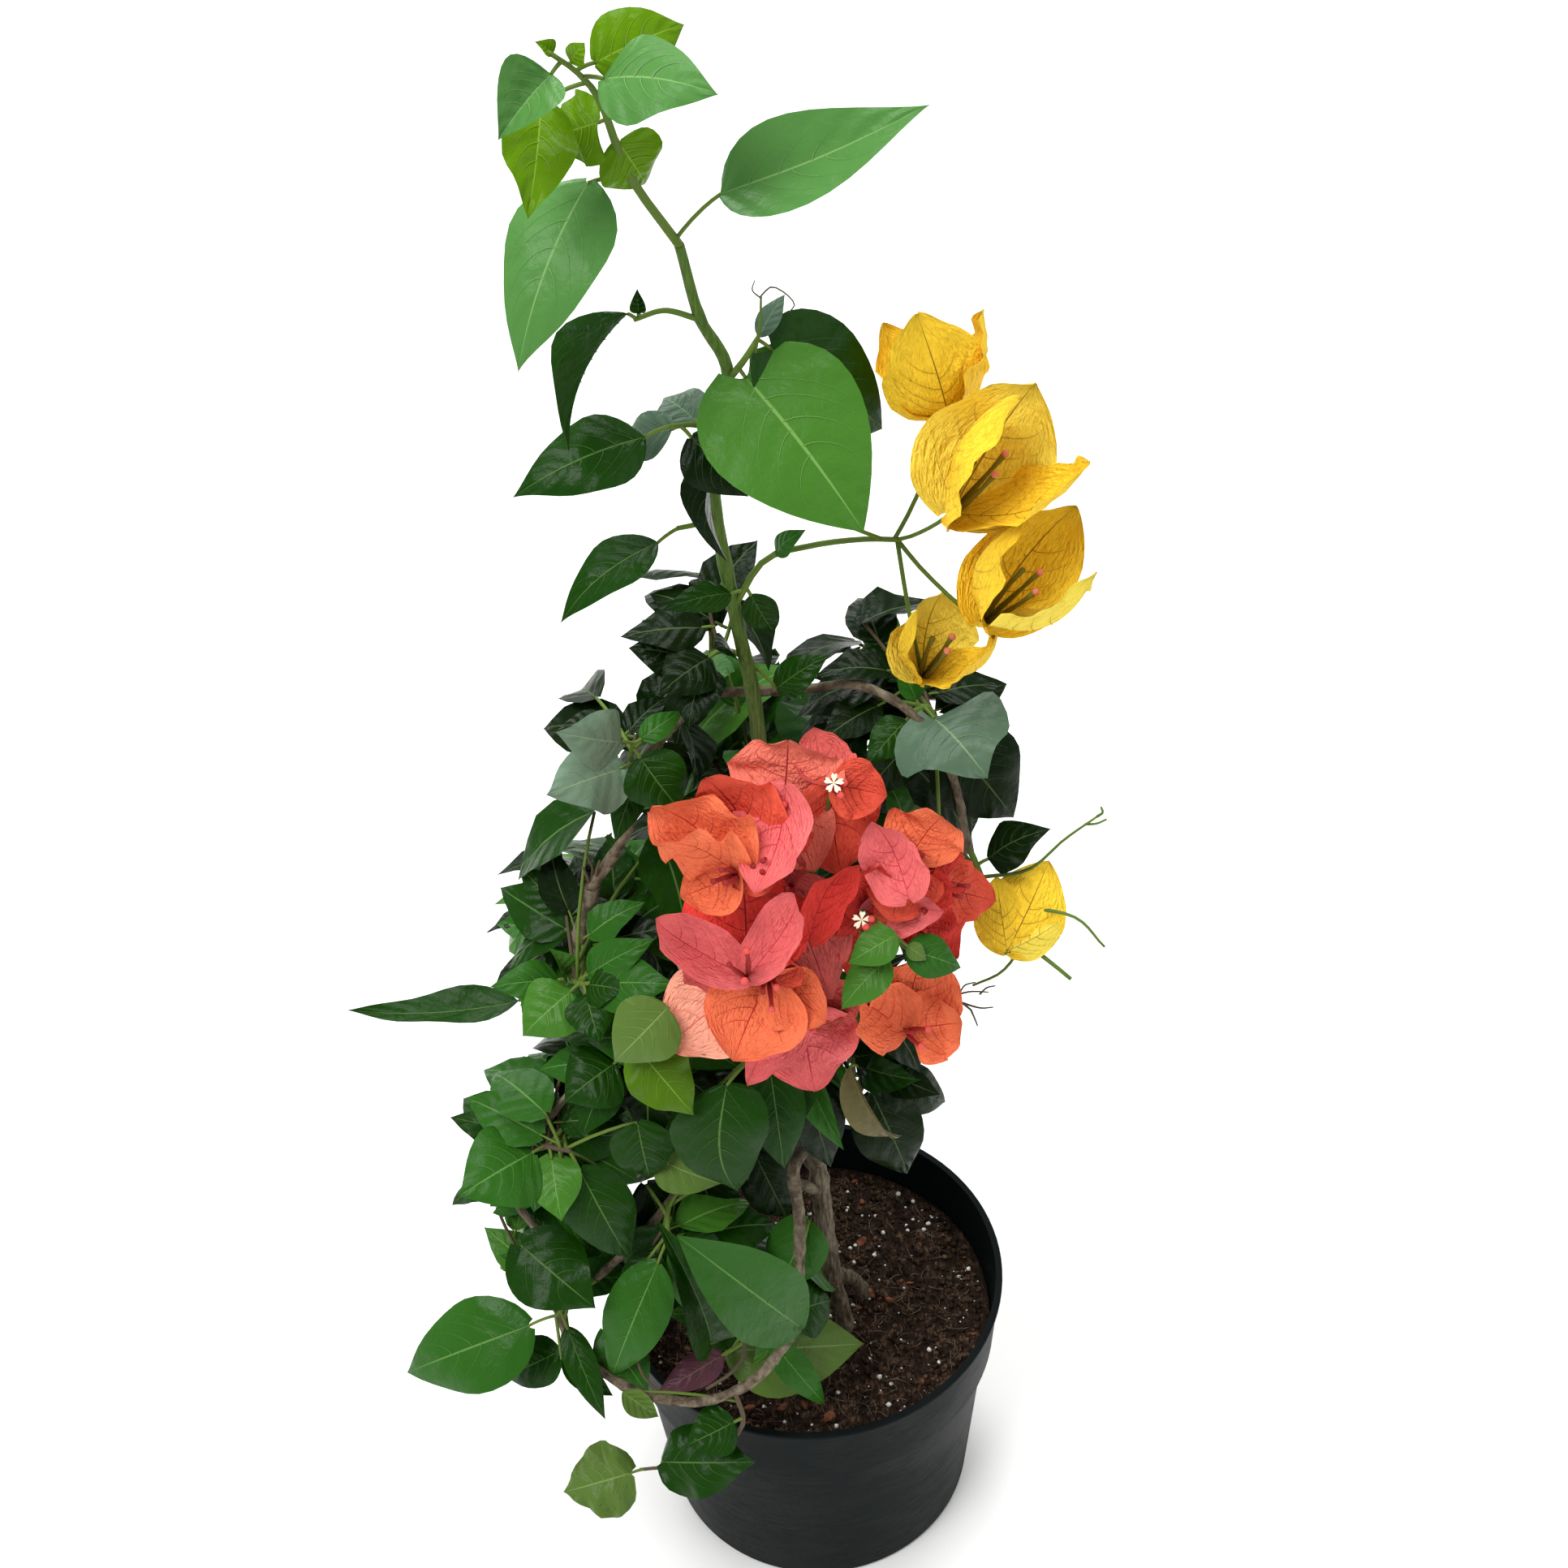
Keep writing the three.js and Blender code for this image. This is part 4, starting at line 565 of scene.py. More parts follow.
def linear(colour):
    """A colour as it looks, turned into light, with its alpha"""
    shares = [value / 255 for value in colour]
    return [share / 12.92 if share <= 0.04045 else ((share + 0.055) / 1.055) ** 2.4 for share in shares] + [1]


def between_colours(one, other, share):
    return tuple(a + (b - a) * share for a, b in zip(one, other))


class Amount:
    """A number worked out in a finish's shader, for plain arithmetic"""

    def __init__(self, finish, socket):
        self.finish = finish
        self.socket = socket

    def math(self, operation, *terms):
        node = self.finish.node("ShaderNodeMath", {"operation": operation}, dict(enumerate(terms)))
        return Amount(self.finish, node.outputs[0])

    def __add__(self, other):
        return self.math("ADD", self, other)

    def __sub__(self, other):
        return self.math("SUBTRACT", self, other)

    def __rsub__(self, other):
        return self.math("SUBTRACT", other, self)

    def __mul__(self, other):
        return self.math("MULTIPLY", self, other)

    def __abs__(self):
        return self.math("ABSOLUTE", self)

    def sine(self):
        return self.math("SINE", self)

    __radd__ = __add__
    __rmul__ = __mul__


class Finish:
    """A material under construction"""

    def __init__(self, name, **constants):
        self.material = bpy.data.materials.new(name)
        self.material.use_nodes = True
        self.tree = self.material.node_tree
        self.shader = self.tree.nodes["Principled BSDF"]
        places = self.node("ShaderNodeTexCoord")
        self.object_place = places.outputs["Object"]
        self.uv_place = places.outputs["UV"]
        self.set(**{"Specular IOR Level": 0.15, **constants})

    def node(self, kind, settings=None, inputs=None):
        made = self.tree.nodes.new(kind)
        for name, value in (settings or {}).items():
            if name == "stops":
                self.set_stops(made.color_ramp, value)
            else:
                setattr(made, name, value)
        for name, value in (inputs or {}).items():
            self.feed(made.inputs[name], value)
        return made

    def set_stops(self, ramp, stops):
        while len(ramp.elements) < len(stops):
            ramp.elements.new(1)
        for element, (place, colour) in zip(ramp.elements, stops):
            element.position = place
            element.color = colour

    def feed(self, socket, value):
        if isinstance(value, Amount):
            value = value.socket
        if isinstance(value, bpy.types.NodeSocket):
            self.tree.links.new(value, socket)
        else:
            socket.default_value = value

    def set(self, **inputs):
        for name, value in inputs.items():
            self.feed(self.shader.inputs[name], value)

    def stretched(self, place, scale):
        return self.node("ShaderNodeMapping", None, {"Vector": place, "Scale": scale}).outputs[0]

    def noise(self, place, scale, detail=4, roughness=0.55):
        inputs = {"Vector": place, "Scale": scale, "Detail": detail, "Roughness": roughness}
        return Amount(self, self.node("ShaderNodeTexNoise", None, inputs).outputs[0])

    def ramp(self, amount, stops):
        return self.node("ShaderNodeValToRGB", {"stops": stops}, {0: amount}).outputs[0]

    def spread(self, amount, low, high, to_low=0, to_high=1):
        inputs = {"Value": amount, "From Min": low, "From Max": high, "To Min": to_low, "To Max": to_high}
        return Amount(self, self.node("ShaderNodeMapRange", None, inputs).outputs[0])

    def bump(self, height, distance, strength):
        inputs = {"Height": height, "Distance": distance, "Strength": strength}
        self.set(Normal=self.node("ShaderNodeBump", None, inputs).outputs[0])


# How many times a leaf's surface swells between its side veins, as an angle over its length
QUILTS = 34


def leaf_finish(name, colour):
    """A living leaf: one plain tint, a soft sheen, and quilting between the side veins"""
    finish = Finish(name, **{"Base Color": linear(colour), "Specular IOR Level": 0.1})
    split = finish.node("ShaderNodeSeparateXYZ", None, {0: finish.uv_place})
    along = Amount(finish, split.outputs[0])
    from_midrib = Amount(finish, split.outputs[1]) - 0.5
    slant = (along - abs(from_midrib) * 0.5) * QUILTS
    ribs = slant.sine()
    finish.set(Roughness=finish.spread(finish.noise(finish.object_place, 60), 0.3, 0.7, 0.24, 0.4))
    finish.bump(ribs * 0.13 + finish.noise(finish.object_place, 110), 0.0018, 0.6)
    return finish.material


def bract_finish(name, colour):
    """A papery bract: one plain tint, crinkled between its veins"""
    finish = Finish(name, **{"Base Color": linear(colour), "Roughness": 0.6, "Specular IOR Level": 0.08})
    network = finish.noise(finish.stretched(finish.uv_place, (7, 15, 1)), 1, 3, 0.5) - 0.5
    ridges = abs(network)
    crumple = finish.noise(finish.object_place, 210, 3)
    finish.bump(ridges * -2.2 + crumple * 0.6, 0.004, 0.7)
    return finish.material


def thin_finish(name, colour):
    """A vein, twig, tube or petal: one plain tint with a fine grain"""
    finish = Finish(name, **{"Base Color": linear(colour)})
    grain = finish.noise(finish.object_place, 700, 2)
    finish.set(Roughness=finish.spread(grain, 0.3, 0.7, 0.5, 0.72))
    finish.bump(grain, 0.0003, 0.4)
    return finish.material


def bark_finish(name, place_scale, by_uv):
    """Grey-brown bark with pale streaks and dark furrows along the limb"""
    finish = Finish(name)
    place = finish.stretched(finish.uv_place if by_uv else finish.object_place, place_scale)
    streaks = finish.noise(place, 1, 5, 0.6)
    patches = finish.noise(finish.object_place, 55, 3)
    tone = streaks * 0.7 + patches * 0.3
    colour = finish.ramp(tone, [
        (0.34, linear((44, 36, 28))), (0.47, linear((90, 79, 64))), (0.6, linear((126, 115, 97)))])
    finish.set(**{"Base Color": colour, "Roughness": finish.spread(tone, 0.3, 0.7, 0.9, 0.7)})
    finish.bump(streaks, 0.0014, 0.8)
    return finish.material


def green_bark_finish():
    """Young green bark with fine lighter lines"""
    finish = Finish("young_bark")
    streaks = finish.noise(finish.stretched(finish.object_place, (900, 900, 60)), 1, 3)
    height = finish.node("ShaderNodeSeparateXYZ", None, {0: finish.object_place}).outputs[2]
    age = finish.spread(height, 0.3, 0.62)
    young = finish.ramp(streaks, [(0.35, linear((60, 88, 30))), (0.65, linear((88, 116, 48)))])
    woody = finish.ramp(streaks, [(0.35, linear((84, 76, 46))), (0.65, linear((122, 112, 78)))])
    colour = finish.node("ShaderNodeMix", {"data_type": "RGBA"}, {0: age, 6: woody, 7: young}).outputs[2]
    finish.set(**{"Base Color": colour, "Roughness": finish.spread(streaks, 0.3, 0.7, 0.5, 0.66)})
    finish.bump(streaks, 0.0005, 0.6)
    return finish.material


def pot_finish():
    """Dark slate plastic, satin, dusty in patches and lightly scuffed"""
    finish = Finish("pot_plastic", **{"Specular IOR Level": 0.03})
    dust = finish.noise(finish.object_place, 14, 6, 0.6)
    scuffs = finish.noise(finish.stretched(finish.object_place, (60, 60, 420)), 1, 5, 0.7)
    marks = finish.spread(dust * 0.6 + scuffs * 0.4, 0.44, 0.72)
    colour = finish.ramp(marks, [
        (0, linear((12, 16, 17))), (0.6, linear((16, 21, 22))), (1, linear((36, 41, 43)))])
    finish.set(**{"Base Color": colour, "Roughness": finish.spread(marks, 0, 1, 0.42, 0.66)})
    finish.bump(finish.noise(finish.object_place, 1500, 2) + scuffs * 0.5, 0.0002, 0.35)
    return finish.material


def soil_finish(name, dark, middle, light):
    """Damp peat, lumpy and fibrous"""
    finish = Finish(name, **{"Specular IOR Level": 0.05})
    lumps = finish.noise(finish.object_place, 160, 6, 0.7)
    fibres = finish.noise(finish.stretched(finish.object_place, (900, 260, 500)), 1, 4, 0.6)
    tone = lumps * 0.6 + fibres * 0.4
    colour = finish.ramp(tone, [(0.36, linear(dark)), (0.52, linear(middle)), (0.66, linear(light))])
    finish.set(**{"Base Color": colour, "Roughness": finish.spread(tone, 0.3, 0.7, 0.98, 0.8)})
    finish.bump(tone, 0.003, 0.9)
    return finish.material


def speck_finish(name, dark, light):
    """Perlite, bark chips and fibres: mottled from one speck to the next"""
    finish = Finish(name)
    mottle = finish.noise(finish.object_place, 320, 4)
    colour = finish.ramp(mottle, [(0.35, linear(dark)), (0.65, linear(light))])
    finish.set(**{"Base Color": colour, "Roughness": finish.spread(mottle, 0.3, 0.7, 0.75, 0.95)})
    finish.bump(mottle, 0.0008, 0.7)
    return finish.material


FINISHES = {
    "bark": bark_finish("stem_bark", (26, 3, 1), True),
    "trunk_bark": bark_finish("trunk_bark", (620, 620, 90), False),
    "green_stem": green_bark_finish(),
    "pot": pot_finish(),
    "soil": soil_finish("peat", (16, 11, 9), (42, 31, 24), (96, 76, 60)),
    "crumb": soil_finish("peat_crumb", (20, 14, 11), (54, 40, 31), (120, 94, 74)),
    "perlite": speck_finish("perlite", (190, 186, 176), (236, 234, 226)),
    "chip": speck_finish("bark_chip", (74, 40, 26), (136, 84, 56)),
    "fibre": speck_finish("peat_fibre", (74, 62, 48), (128, 116, 92)),
}
for tint, colour in LEAF_TINTS.items():
    FINISHES[tint] = leaf_finish("leaf_" + tint, colour)
    for part, lightening in (("_rib", MIDRIB_LIGHTENING), ("_vein", SIDE_VEIN_LIGHTENING)):
        FINISHES[tint + part] = thin_finish(
            "leaf_" + tint + part, between_colours(colour, VEIN_COLOUR, lightening))
for tint, (colour, vein) in BRACT_TINTS.items():
    FINISHES[tint] = bract_finish("bract_" + tint, colour)
    FINISHES[tint + "_rib"] = thin_finish("bract_" + tint + "_rib", vein)
    FINISHES[tint + "_vein"] = thin_finish(
        "bract_" + tint + "_vein", between_colours(colour, vein, BRACT_VEIN_SHARE))
for tint, colour in STEM_TINTS.items():
    FINISHES[tint] = thin_finish(tint, colour)


def seeded(seed):
    """Random numbers from a seed, the same every time"""
    mask = 0xFFFFFFFF
    state = seed

    def draw():
        nonlocal state
        state = (state + 0x6D2B79F5) & mask
        mixed = ((state ^ (state >> 15)) * (1 | state)) & mask
        mixed = ((mixed + (((mixed ^ (mixed >> 7)) * (61 | mixed)) & mask)) & mask) ^ mixed
        return ((mixed ^ (mixed >> 14)) & mask) / 4294967296

    return draw


def between(random, span):
    return span[0] + (span[1] - span[0]) * random()


def vector(place):
    return np.array(place, dtype=float)


def unit(direction):
    return direction / np.linalg.norm(direction)


def turned_about(direction, axis, angle):
    """A direction turned about an axis, in radians"""
    return (direction * math.cos(angle) + np.cross(axis, direction) * math.sin(angle)
            + axis * np.dot(axis, direction) * (1 - math.cos(angle)))


def on_sphere(height, turn):
    """A direction, by its height from -1 to 1 and its turn about the vertical"""
    flat = math.sqrt(1 - height * height)
    return np.array([flat * math.cos(turn), flat * math.sin(turn), height])


def on_path(path, shares):
    """Points of the smooth curve through a path, at shares of its length from 0 to 1"""
    points = vector(path)
    if len(points) == 2:
        return points[0] + np.outer(shares, points[1] - points[0])
    padded = np.vstack([2 * points[0] - points[1], points, 2 * points[-1] - points[-2]])
    place = np.asarray(shares, dtype=float) * (len(points) - 1)
    stretch = np.minimum(place.astype(int), len(points) - 2)
    weight = (place - stretch)[:, None]
    before, start, end, after = (padded[stretch + step] for step in range(4))
    leaving = 0.5 * (end - before)
    arriving = 0.5 * (after - start)
    return (start + leaving * weight + (3 * (end - start) - 2 * leaving - arriving) * weight ** 2
            + (2 * (start - end) + leaving + arriving) * weight ** 3)


def bowed(start, end, bow):
    """A path from start to end that bows out by a vector in its middle"""
    return [start, start + (end - start) * 0.3 + bow * 0.8, start + (end - start) * 0.7 + bow * 0.8, end]


class Heap:
    """Corners, faces and finishes of many small shapes that are joined into one piece"""

    def __init__(self, name):
        self.name = name
        self.corners = []
        self.places = []
        self.faces = []
        self.slots = []
        self.finishes = []
        self.count = 0

    def add(self, corners, faces, finishes, places=None):
        """finishes is one finish's name, or one for each face"""
        if isinstance(finishes, str):
            finishes = [finishes] * len(faces)
        for finish in dict.fromkeys(finishes):
            if finish not in self.finishes:
                self.finishes.append(finish)
        self.corners.append(corners)
        self.places.append(np.zeros((len(corners), 2)) if places is None else places)
        self.faces += [[self.count + corner for corner in face] for face in faces]
        self.slots += [self.finishes.index(finish) for finish in finishes]
        self.count += len(corners)

    def make(self, slot, nodes=()):
        mesh = bpy.data.meshes.new(self.name)
        mesh.from_pydata((np.vstack(self.corners) * MM).tolist(), [], self.faces)
        for finish in self.finishes:
            mesh.materials.append(FINISHES[finish])
        mesh.polygons.foreach_set("material_index", self.slots)
        corner_of = np.empty(len(mesh.loops), dtype=np.int32)
        mesh.loops.foreach_get("vertex_index", corner_of)
        layer = mesh.uv_layers.new(name="UVMap")
        layer.data.foreach_set("uv", np.vstack(self.places)[corner_of].ravel())
        mesh.shade_smooth()
        piece = bpy.data.objects.new(self.name, mesh)
        bpy.context.scene.collection.objects.link(piece)
        return placed(piece, nodes)


def placed(piece, nodes):
    """Lets a finished piece ride with the plant and stand for its solids"""
    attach(piece, "root")
    if nodes:
        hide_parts(*nodes)
    return piece


# A tube's first direction across, and the length in millimetres that its surface places count in
FIRST_ACROSS = (1.0, 0.13, 0.07)
PLACE_LENGTH = 10


def tube(points, radii, sides):
    """Corners, faces and surface places of a round tube with closed, pointed ends"""
    points = vector(points)
    steps = np.gradient(points, axis=0)
    across = vector(FIRST_ACROSS)
    turn = np.arange(sides) * FULL_TURN / sides
    rings = []
    for centre, step, radius in zip(points, steps, radii):
        along = unit(step)
        across = unit(across - along * np.dot(across, along))
        beside = np.cross(along, across)
        rings.append(centre + radius * (np.outer(np.cos(turn), across) + np.outer(np.sin(turn), beside)))
    corners = np.vstack(rings + [points[:1], points[-1:]])
    last = len(points) - 1
    faces = []
    for side in range(sides):
        following = (side + 1) % sides
        faces.append((len(corners) - 2, following, side))
        faces.append((len(corners) - 1, last * sides + side, last * sides + following))
        for ring in range(last):
            low = ring * sides
            faces.append((low + side, low + following, low + sides + following, low + sides + side))
    distance = np.concatenate([[0], np.cumsum(np.linalg.norm(np.diff(points, axis=0), axis=1))])
    places = np.vstack([
        np.column_stack([np.tile(turn / FULL_TURN, len(points)), np.repeat(distance / PLACE_LENGTH, sides)]),
        [[0, 0], [0, distance[-1] / PLACE_LENGTH]]])
    return corners, faces, places


# Radii of a twig at its root and tip
SPRIG_RADII = (0.95, 0.55)
PETIOLE_RADII = (0.9, 0.75)
SHOOT_RADII = (1.05, 0.8)
PEDICEL_RADII = (0.95, 0.85)
FIBRE_RADII = (0.22, 0.12)

# Sides of a twig and steps along it
STEM_DETAIL = (8, 14)
SPRIG_DETAIL = (6, 12)
BARE_DETAIL = (6, 10)
PEDICEL_DETAIL = (6, 8)
PETIOLE_DETAIL = (6, 6)
SHOOT_DETAIL = (5, 6)
FIBRE_DETAIL = (3, 5)


def add_twig(heap, path, radii, finish, detail):
    sides, steps = detail
    shares = np.linspace(0, 1, steps)
    points = on_path(path, shares)
    corners, faces, places = tube(points, radii[0] + (radii[1] - radii[0]) * shares, sides)
    heap.add(corners, faces, finish, places)


# A blade is never narrower than at these shares of its length
BLADE_ENDS = (0.004, 0.996)


class Blade:
    """The surface of a leaf or bract: a point for each share of its length and of its half width"""

    def __init__(self, base, tip, facing, width, shape, form, bulge, phase=0.0, crumple=0.0):
        self.base = base
        self.length = np.linalg.norm(tip - base)
        self.ahead = (tip - base) / self.length
        self.across = unit(np.cross(self.ahead, facing))
        self.out = np.cross(self.across, self.ahead)
        self.width = width
        self.shape = shape
        self.form = form
        self.bulge = bulge
        self.phase = phase
        self.crumple = crumple

    def half_width(self, share):
        root, point = self.shape
        share = np.clip(share, *BLADE_ENDS)
        widest = root / (root + point)
        peak = widest ** root * (1 - widest) ** point
        return 0.5 * self.width * share ** root * (1 - share) ** point / peak

    def ripple(self, share, side, reach):
        """How far a papery blade's crumples and the ruffles at its edge stand out"""
        crumples = (np.sin(19 * share + 5 * side + self.phase) * 0.5
                    + np.sin(31 * share - 9 * reach + 2 * self.phase) * 0.5)
        ruffles = np.sin(25 * share + 3 * side + self.phase)
        return (self.crumple * self.width * reach ** 0.6 * crumples
                + self.form.get("ruffle", 0) * self.width * ruffles * reach ** 4)

    def at(self, share, side):
        share, side = np.broadcast_arrays(np.asarray(share, dtype=float), np.asarray(side, dtype=float))
        form = self.form
        half = self.half_width(share)
        reach = np.abs(side)
        beat = FULL_TURN * form.get("waves", 2) * share + self.phase + np.where(side > 0, 1.9, 0)
        wave = form.get("wave", 0) * self.width * np.sin(beat) * reach ** 1.7 * (1 - share ** 4)
        rise = form.get("fold", 0) * reach * half - form.get("curl", 0) * reach ** 2 * half + wave
        rise = rise + self.ripple(share, side, reach)
        arch = 4 * (self.bulge - form.get("sag", 0)) * share * (1 - share)
        lift = self.length * (arch - form.get("droop", 0) * share ** 3)
        back = form.get("lobe", 0) * self.length * reach ** 1.6 * (1 - share) ** 4
        swing = form.get("swing", 0) * self.length * np.sin(math.pi * share)
        twist = form.get("twist", 0) * share
        sideways = half * side * np.cos(twist) - rise * np.sin(twist) + swing
        height = half * side * np.sin(twist) + rise * np.cos(twist) + lift
        ahead = share * self.length - back
        return (self.base + ahead[..., None] * self.ahead + sideways[..., None] * self.across
                + height[..., None] * self.out)


def blade_grid(blade, rows, sides):
    """Corners, faces and surface places of a blade. Its middle strip of faces is the midrib."""
    shares = 0.5 - 0.5 * np.cos(np.linspace(0.04, 1, rows + 1) * math.pi)
    shares[0] = 0
    share, side = np.meshgrid(shares, sides, indexing="ij")
    corners = blade.at(share, side).reshape(-1, 3)
    columns = len(sides)
    faces = []
    is_rib = []
    for row in range(rows):
        for column in range(columns - 1):
            low = row * columns + column
            faces.append((low, low + 1, low + columns + 1, low + columns))
            is_rib.append(column == columns // 2 - 1)
    places = np.column_stack([share.ravel(), 0.5 + 0.5 * side.ravel()])
    return corners, faces, is_rib, places


def add_strip(heap, blade, shares, sides, half_widths, relief, finish):
    """A thin raised line on both faces of a blade, through points given by their shares"""
    lean = half_widths / blade.length
    edges = np.vstack([blade.at(shares - lean, sides), blade.at(shares + lean, sides)])
    count = len(shares)
    faces = [(step, step + 1, count + step + 1, count + step) for step in range(count - 1)]
    for lift in (relief, -relief):
        heap.add(edges + blade.out * lift, faces, finish)


# Rows of faces along a blade, and shares of its half width where the faces' edges lie
LEAF_ROWS = 16
SMALL_LEAF_ROWS = 8
BRACT_ROWS = 22
LEAF_SIDES = (-1, -0.8, -0.55, -0.28, -0.021, 0.021, 0.28, 0.55, 0.8, 1)
SMALL_LEAF_SIDES = (-1, -0.55, -0.035, 0.035, 0.55, 1)
BRACT_SIDES = (-1, -0.8, -0.58, -0.36, -0.17, -0.014, 0.014, 0.17, 0.36, 0.58, 0.8, 1)

# Side veins, which only wider leaves have. Their roots start at a share of the blade's length and spread
# over another, one of a pair ahead of the other. A pair further up reaches less far across and less ahead.
VEIN_STEPS = np.linspace(0, 1, 7)
VEIN_PAIRS = 4
VEINED_WIDTH = 12
VEIN_START = 0.05
VEIN_SPREAD = 0.62
VEIN_CROWDING = 1.1
VEIN_STAGGER = 0.03
VEIN_REACH = (0.86, 0.2)
VEIN_ADVANCE = (0.52, 0.3)
VEIN_BEND = 1.5
VEIN_TAPER = 0.7

# Smaller veins that leave the side veins
FORK_ADVANCE = 0.17
FORK_BEND = 1.2
FORK_REACH = 0.1
FORK_WIDTH = 0.55
FORK_TAPER = 0.6

# Half width of a vein at its root, how far it stands out, and the shares of it where smaller ones leave
LEAF_VEIN = {"half_width": 0.24, "relief": 0.2, "forks": ()}
BRACT_VEIN = {"half_width": 0.2, "relief": 0.22, "forks": (0.35, 0.65)}


def add_side_veins(heap, blade, finish, vein):
    """Pairs of veins that leave the midrib, bend towards the tip and fade before the edge"""
    half_width = vein["half_width"]
    for pair in range(VEIN_PAIRS):
        start = VEIN_START + VEIN_SPREAD * (pair / VEIN_PAIRS) ** VEIN_CROWDING
        for hand in (-1, 1):
            root = start + VEIN_STAGGER * hand
            reach = VEIN_STEPS * (VEIN_REACH[0] - VEIN_REACH[1] * pair / VEIN_PAIRS)
            shares = root + (VEIN_ADVANCE[0] - VEIN_ADVANCE[1] * root) * reach ** VEIN_BEND
            widths = half_width * (1 - VEIN_TAPER * VEIN_STEPS)
            add_strip(heap, blade, shares, reach * hand, widths, vein["relief"], finish)
            for fork in vein["forks"]:
                turn = 1 if fork > 0.5 else -1
                branch = np.interp(fork, VEIN_STEPS, shares) + FORK_ADVANCE * VEIN_STEPS ** FORK_BEND
                beside = (np.interp(fork, VEIN_STEPS, reach) + FORK_REACH * VEIN_STEPS * turn) * hand
                widths = half_width * FORK_WIDTH * (1 - FORK_TAPER * VEIN_STEPS)
                add_strip(heap, blade, branch, beside, widths, vein["relief"], finish)


def add_blade(heap, blade, tint, rows, sides, vein):
    corners, faces, is_rib, places = blade_grid(blade, rows, sides)
    heap.add(corners, faces, [tint + "_rib" if rib else tint for rib in is_rib], places)
    if vein:
        add_side_veins(heap, blade, tint + "_vein", vein)


# A small open flower's petal: turn in radians, share of the flower's radius and rise of each outer corner
PETAL = ((-0.42, 0.75, 0.5), (-0.2, 1, 0.9), (0, 0.82, 0.6), (0.2, 1, 0.9), (0.42, 0.75, 0.5))
PETALS = 5
FLOWER_RADIUS = 4.2

# A bloom's parts. A lone bract's pedicel stops a little way behind its root.
HIDDEN_END = 3
BRACT_CRUMPLE = 0.028
TUBE_SIDES = 7
TUBE_RADII = (0.8, 1.15, 1.25, 1.1, 0.85, 1.0, 1.3)
TUBE_END_RADII = (1.3, 1.7, 0.8)
TUBE_LEAN = (0.1, 0.24)
TUBE_LENGTHS = (0.85, 1.1)


def add_star(heap, centre, axis):
    """A small open flower: notched petals round a throat"""
    across = unit(np.cross(axis, [0.31, 0.9, 0.2]))
    beside = np.cross(axis, across)
    for petal in range(PETALS):
        middle = FULL_TURN * petal / PETALS
        corners = [centre]
        for turn, share, rise in PETAL:
            spoke = across * math.cos(middle + turn) + beside * math.sin(middle + turn)
            corners.append(centre + spoke * FLOWER_RADIUS * share + axis * rise)
        heap.add(np.array(corners), [(0, 1, 2), (0, 2, 3), (0, 3, 4), (0, 4, 5)], "petal")


def add_bloom(heaps, kind, seat, bloom, random):
    """Bracts and tubes round a bloom's root, on a bowed pedicel. A bract's inner face looks at the axis."""
    base, axis, tube_length, tint, ends, bracts = bloom
    base = vector(base)
    axis = unit(vector(axis))
    end = base if tube_length else base - axis * HIDDEN_END
    bow = UP * PEDICEL_BOW * np.linalg.norm(end - seat)
    add_twig(heaps["twigs"], bowed(seat, end, bow), PEDICEL_RADII, "green_twig", PEDICEL_DETAIL)
    for tip, width, form, *own_tint in bracts:
        ahead = unit(vector(tip) - base)
        inner = axis - ahead * np.dot(axis, ahead)
        blade = Blade(
            base, vector(tip), inner, width, BRACT_SHAPE, BRACT_FORMS[form], BRACT_BULGE,
            between(random, PHASES), BRACT_CRUMPLE)
        bract_tint = own_tint[0] if own_tint else tint
        add_blade(heaps[kind + "_bracts"], blade, bract_tint, BRACT_ROWS, BRACT_SIDES, BRACT_VEIN)
    if tube_length:
        add_tubes(heaps[kind + "_tubes"], kind + "_tube", base, axis, tube_length, ends, random)


def add_tubes(heap, finish, base, axis, length, ends, random):
    """Three slender flower tubes round a bloom's axis. Some end in a bud, one in an open flower."""
    across = unit(np.cross(axis, (0.2, 0.9, 0.1)))
    for index in range(3):
        outward = turned_about(across, axis, FULL_TURN * index / 3)
        aim = unit(axis + outward * between(random, TUBE_LEAN))
        start = base + outward * 0.8
        end = start + aim * length * between(random, TUBE_LENGTHS)
        path = on_path(bowed(start, end, outward * 0.8), VEIN_STEPS)
        corners, faces, places = tube(path, TUBE_RADII, TUBE_SIDES)
        heap.add(corners, faces, finish, places)
        if ends and index:
            corners, faces, places = tube([end, end + aim, end + aim * 2.2], TUBE_END_RADII, TUBE_SIDES)
            heap.add(corners, faces, finish + "_end", places)
        if ends == "star" and not index:
            add_star(heap, end + aim * 0.6, aim)


class Thicket:
    """What has grown so far, to keep new leaves clear of it"""

    def __init__(self):
        self.trees = []
        self.lows = np.empty((0, 3))
        self.highs = np.empty((0, 3))

    def add(self, corners, faces):
        self.trees.append(BVHTree.FromPolygons(corners.tolist(), faces))
        self.lows = np.vstack([self.lows, corners.min(0)])
        self.highs = np.vstack([self.highs, corners.max(0)])

    def touches(self, corners, faces):
        near = np.all((self.lows <= corners.max(0)) & (self.highs >= corners.min(0)), axis=1)
        if not near.any():
            return False
        tree = BVHTree.FromPolygons(corners.tolist(), faces)
        return any(tree.overlap(self.trees[index]) for index in np.flatnonzero(near))


TEST_ROWS = 4
TEST_SIDES = (-1, 0, 1)


def test_shape(blade, room=0):
    """A coarse blade with a little room round it"""
    wide = Blade(
        blade.base, blade.base + blade.ahead * (blade.length + room), blade.out, blade.width + 2 * room,
        blade.shape, blade.form, blade.bulge)
    return blade_grid(wide, TEST_ROWS, TEST_SIDES)[:2]


